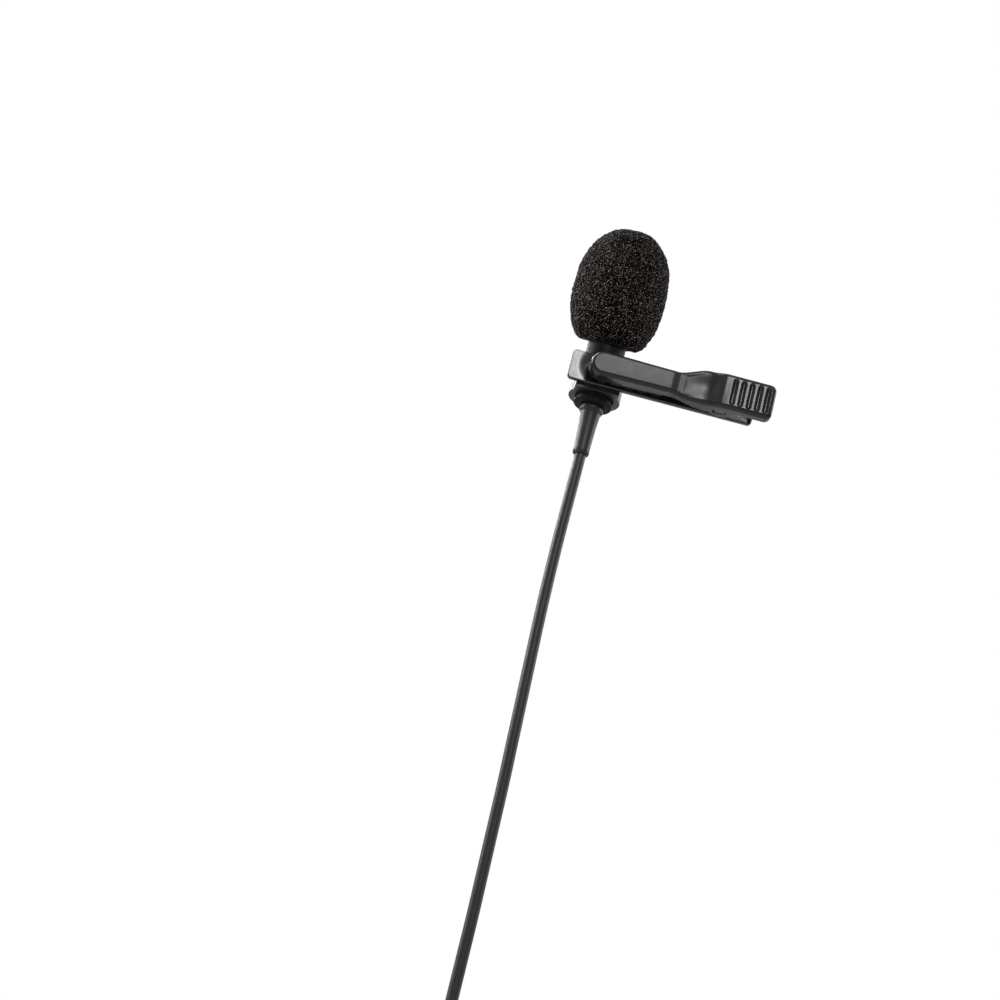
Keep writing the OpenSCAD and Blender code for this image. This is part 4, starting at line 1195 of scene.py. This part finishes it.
class LAVALIER_OT_capsule(bpy.types.Operator):
    """Give the pieces inside the barrel their finishes"""

    bl_idname = "lavalier.capsule"
    bl_label = "Capsule"

    def execute(self, context):
        finishes = {
            "grille_mesh": woven("mesh_steel", (0.4, 0.4, 0.39), 0.16 * MM, 0.02 * MM, 0.3),
            "capsule_boot": rubber("rubber_black", (0.014, 0.014, 0.014), 0.6),
            "capsule_can": metal("can_aluminium", (0.78, 0.78, 0.77), 0.3, (1, 1, 10)),
            "dust_felt": felted("felt_black", (0.02, 0.02, 0.02)),
            "diaphragm": metal("film_gold", (0.85, 0.68, 0.35), 0.18, (3, 3, 1)),
            "spacer_ring": moulded("spacer_film", (0.75, 0.74, 0.7), 0.1 * MM, 0.002 * MM, 0.35),
            "back_plate": metal("brass_plate", (0.78, 0.6, 0.28), 0.28, (8, 1, 1)),
            "insulator_cup": moulded("insulator_white", (0.72, 0.71, 0.67), 0.12 * MM, 0.004 * MM, 0.45),
            "transistor": moulded("transistor_black", (0.014, 0.014, 0.014), 0.06 * MM, 0.004 * MM, 0.6),
            "capsule_board": circuit_board("board_green", (0.015, 0.12, 0.05)),
            "lead_wires": rubber("wire_red", (0.4, 0.03, 0.025), 0.4),
            "cord_crimp": metal("crimp_steel", (0.62, 0.62, 0.6), 0.3, (1, 1, 8)),
            "cord_core": cord_jacket("core_jacket", (0.016, 0.016, 0.0165)),
        }
        finishes["contact_ring"] = finishes["back_plate"]
        for node, finish in finishes.items():
            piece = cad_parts[node]
            piece.data.materials.clear()
            piece.data.materials.append(finish)
        return {"FINISHED"}


class LAVALIER_OT_windscreen(bpy.types.Operator):
    """Build the foam windscreen, with a slanted mouth and a bore for the barrel's head"""

    bl_idname = "lavalier.windscreen"
    bl_label = "Windscreen"

    def execute(self, context):
        wish = context.scene.lavalier_windscreen
        form = FoamForm(wish)
        slope = tan(wish.slant)
        points = []
        faces = []
        for i in range(FOAM_SIDES):
            phi = 2 * pi * i / FOAM_SIDES
            for r, z in form.meridian(slope * sin(phi)):
                points.append((MIC_X + r * cos(phi), MIC_Y + r * sin(phi), z))
            here, beside = i * FOAM_ROWS, (i + 1) % FOAM_SIDES * FOAM_ROWS
            for k in range(FOAM_ROWS - 1):
                faces.append((here + k, here + k + 1, beside + k + 1, beside + k))
        faces.append(tuple(k * FOAM_ROWS - 1 for k in range(FOAM_SIDES, 0, -1)))
        finish = open_cell("foam_black", wish.skin, wish.pore)
        made = tidied(meshed("windscreen", points, faces, [finish], pi))
        roughened(made, wish.tuft, wish.depth, form.bore + SMOOTH_ROUND, form.bore_top + SMOOTH_OVER)
        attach(made, "windscreen")
        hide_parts("foam_windscreen")
        return {"FINISHED"}


class LAVALIER_OT_soft(bpy.types.Operator):
    """Work out the points along the free cord's path"""

    bl_idname = "lavalier.soft"
    bl_label = "Cord facts"

    def execute(self, context):
        wish = context.scene.lavalier_cord
        [list(point) for point in cord_path(wish.thickness)]
        return {"FINISHED"}


class LAVALIER_OT_stage(bpy.types.Operator):
    """Set the pale floor, the white surroundings and the softboxes"""

    bl_idname = "lavalier.stage"
    bl_label = "Stage"

    def execute(self, context):
        wish = context.scene.lavalier_stage
        scene = context.scene
        scene.view_settings.view_transform = "Standard"
        floor_z = CAD_BOX[0].z - FLOOR_DROP
        points = [(x, y, floor_z) for x, y in circle(FLOOR_R, FLOOR_SIDES)]
        pale = floor_finish("floor_pale", wish.floor)
        meshed("floor", points, [tuple(range(FLOOR_SIDES))], [pale])
        scene.world = bpy.data.worlds.new("surroundings")
        lit_surroundings(scene.world, wish.room)
        softbox("key", *KEY_LAMP, wish.key)
        for name, lamp in LAMPS.items():
            softbox(name, *lamp)
        return {"FINISHED"}


OPERATORS = (
    LAVALIER_OT_camera,
    LAVALIER_OT_cord,
    LAVALIER_OT_tie,
    LAVALIER_OT_plug,
    LAVALIER_OT_soft,
    LAVALIER_OT_clip,
    LAVALIER_OT_spring,
    LAVALIER_OT_barrel,
    LAVALIER_OT_capsule,
    LAVALIER_OT_windscreen,
    LAVALIER_OT_stage,
)


class LAVALIER_PT_panel(bpy.types.Panel):
    """The pieces of the microphone, in the order in which they are made"""

    bl_idname = "LAVALIER_PT_panel"
    bl_label = "Lavalier Microphone"
    bl_space_type = "VIEW_3D"
    bl_region_type = "UI"
    bl_category = "Lavalier"

    def draw(self, context):
        for operator in OPERATORS:
            self.layout.operator(operator.bl_idname)
        for name, group in GROUPS.items():
            box = self.layout.box()
            settings = getattr(context.scene, name)
            for key in group.__annotations__:
                box.prop(settings, key)


def register():
    for name, group in GROUPS.items():
        bpy.utils.register_class(group)
        setattr(bpy.types.Scene, name, PointerProperty(type=group))
    for operator in OPERATORS:
        bpy.utils.register_class(operator)
    bpy.utils.register_class(LAVALIER_PT_panel)


def unregister():
    bpy.utils.unregister_class(LAVALIER_PT_panel)
    for operator in reversed(OPERATORS):
        bpy.utils.unregister_class(operator)
    for name, group in reversed(GROUPS.items()):
        delattr(bpy.types.Scene, name)
        bpy.utils.unregister_class(group)


def main():
    register()
    for operator in OPERATORS:
        group, name = operator.bl_idname.split(".")
        getattr(getattr(bpy.ops, group), name)()


if __name__ == "__main__":
    main()
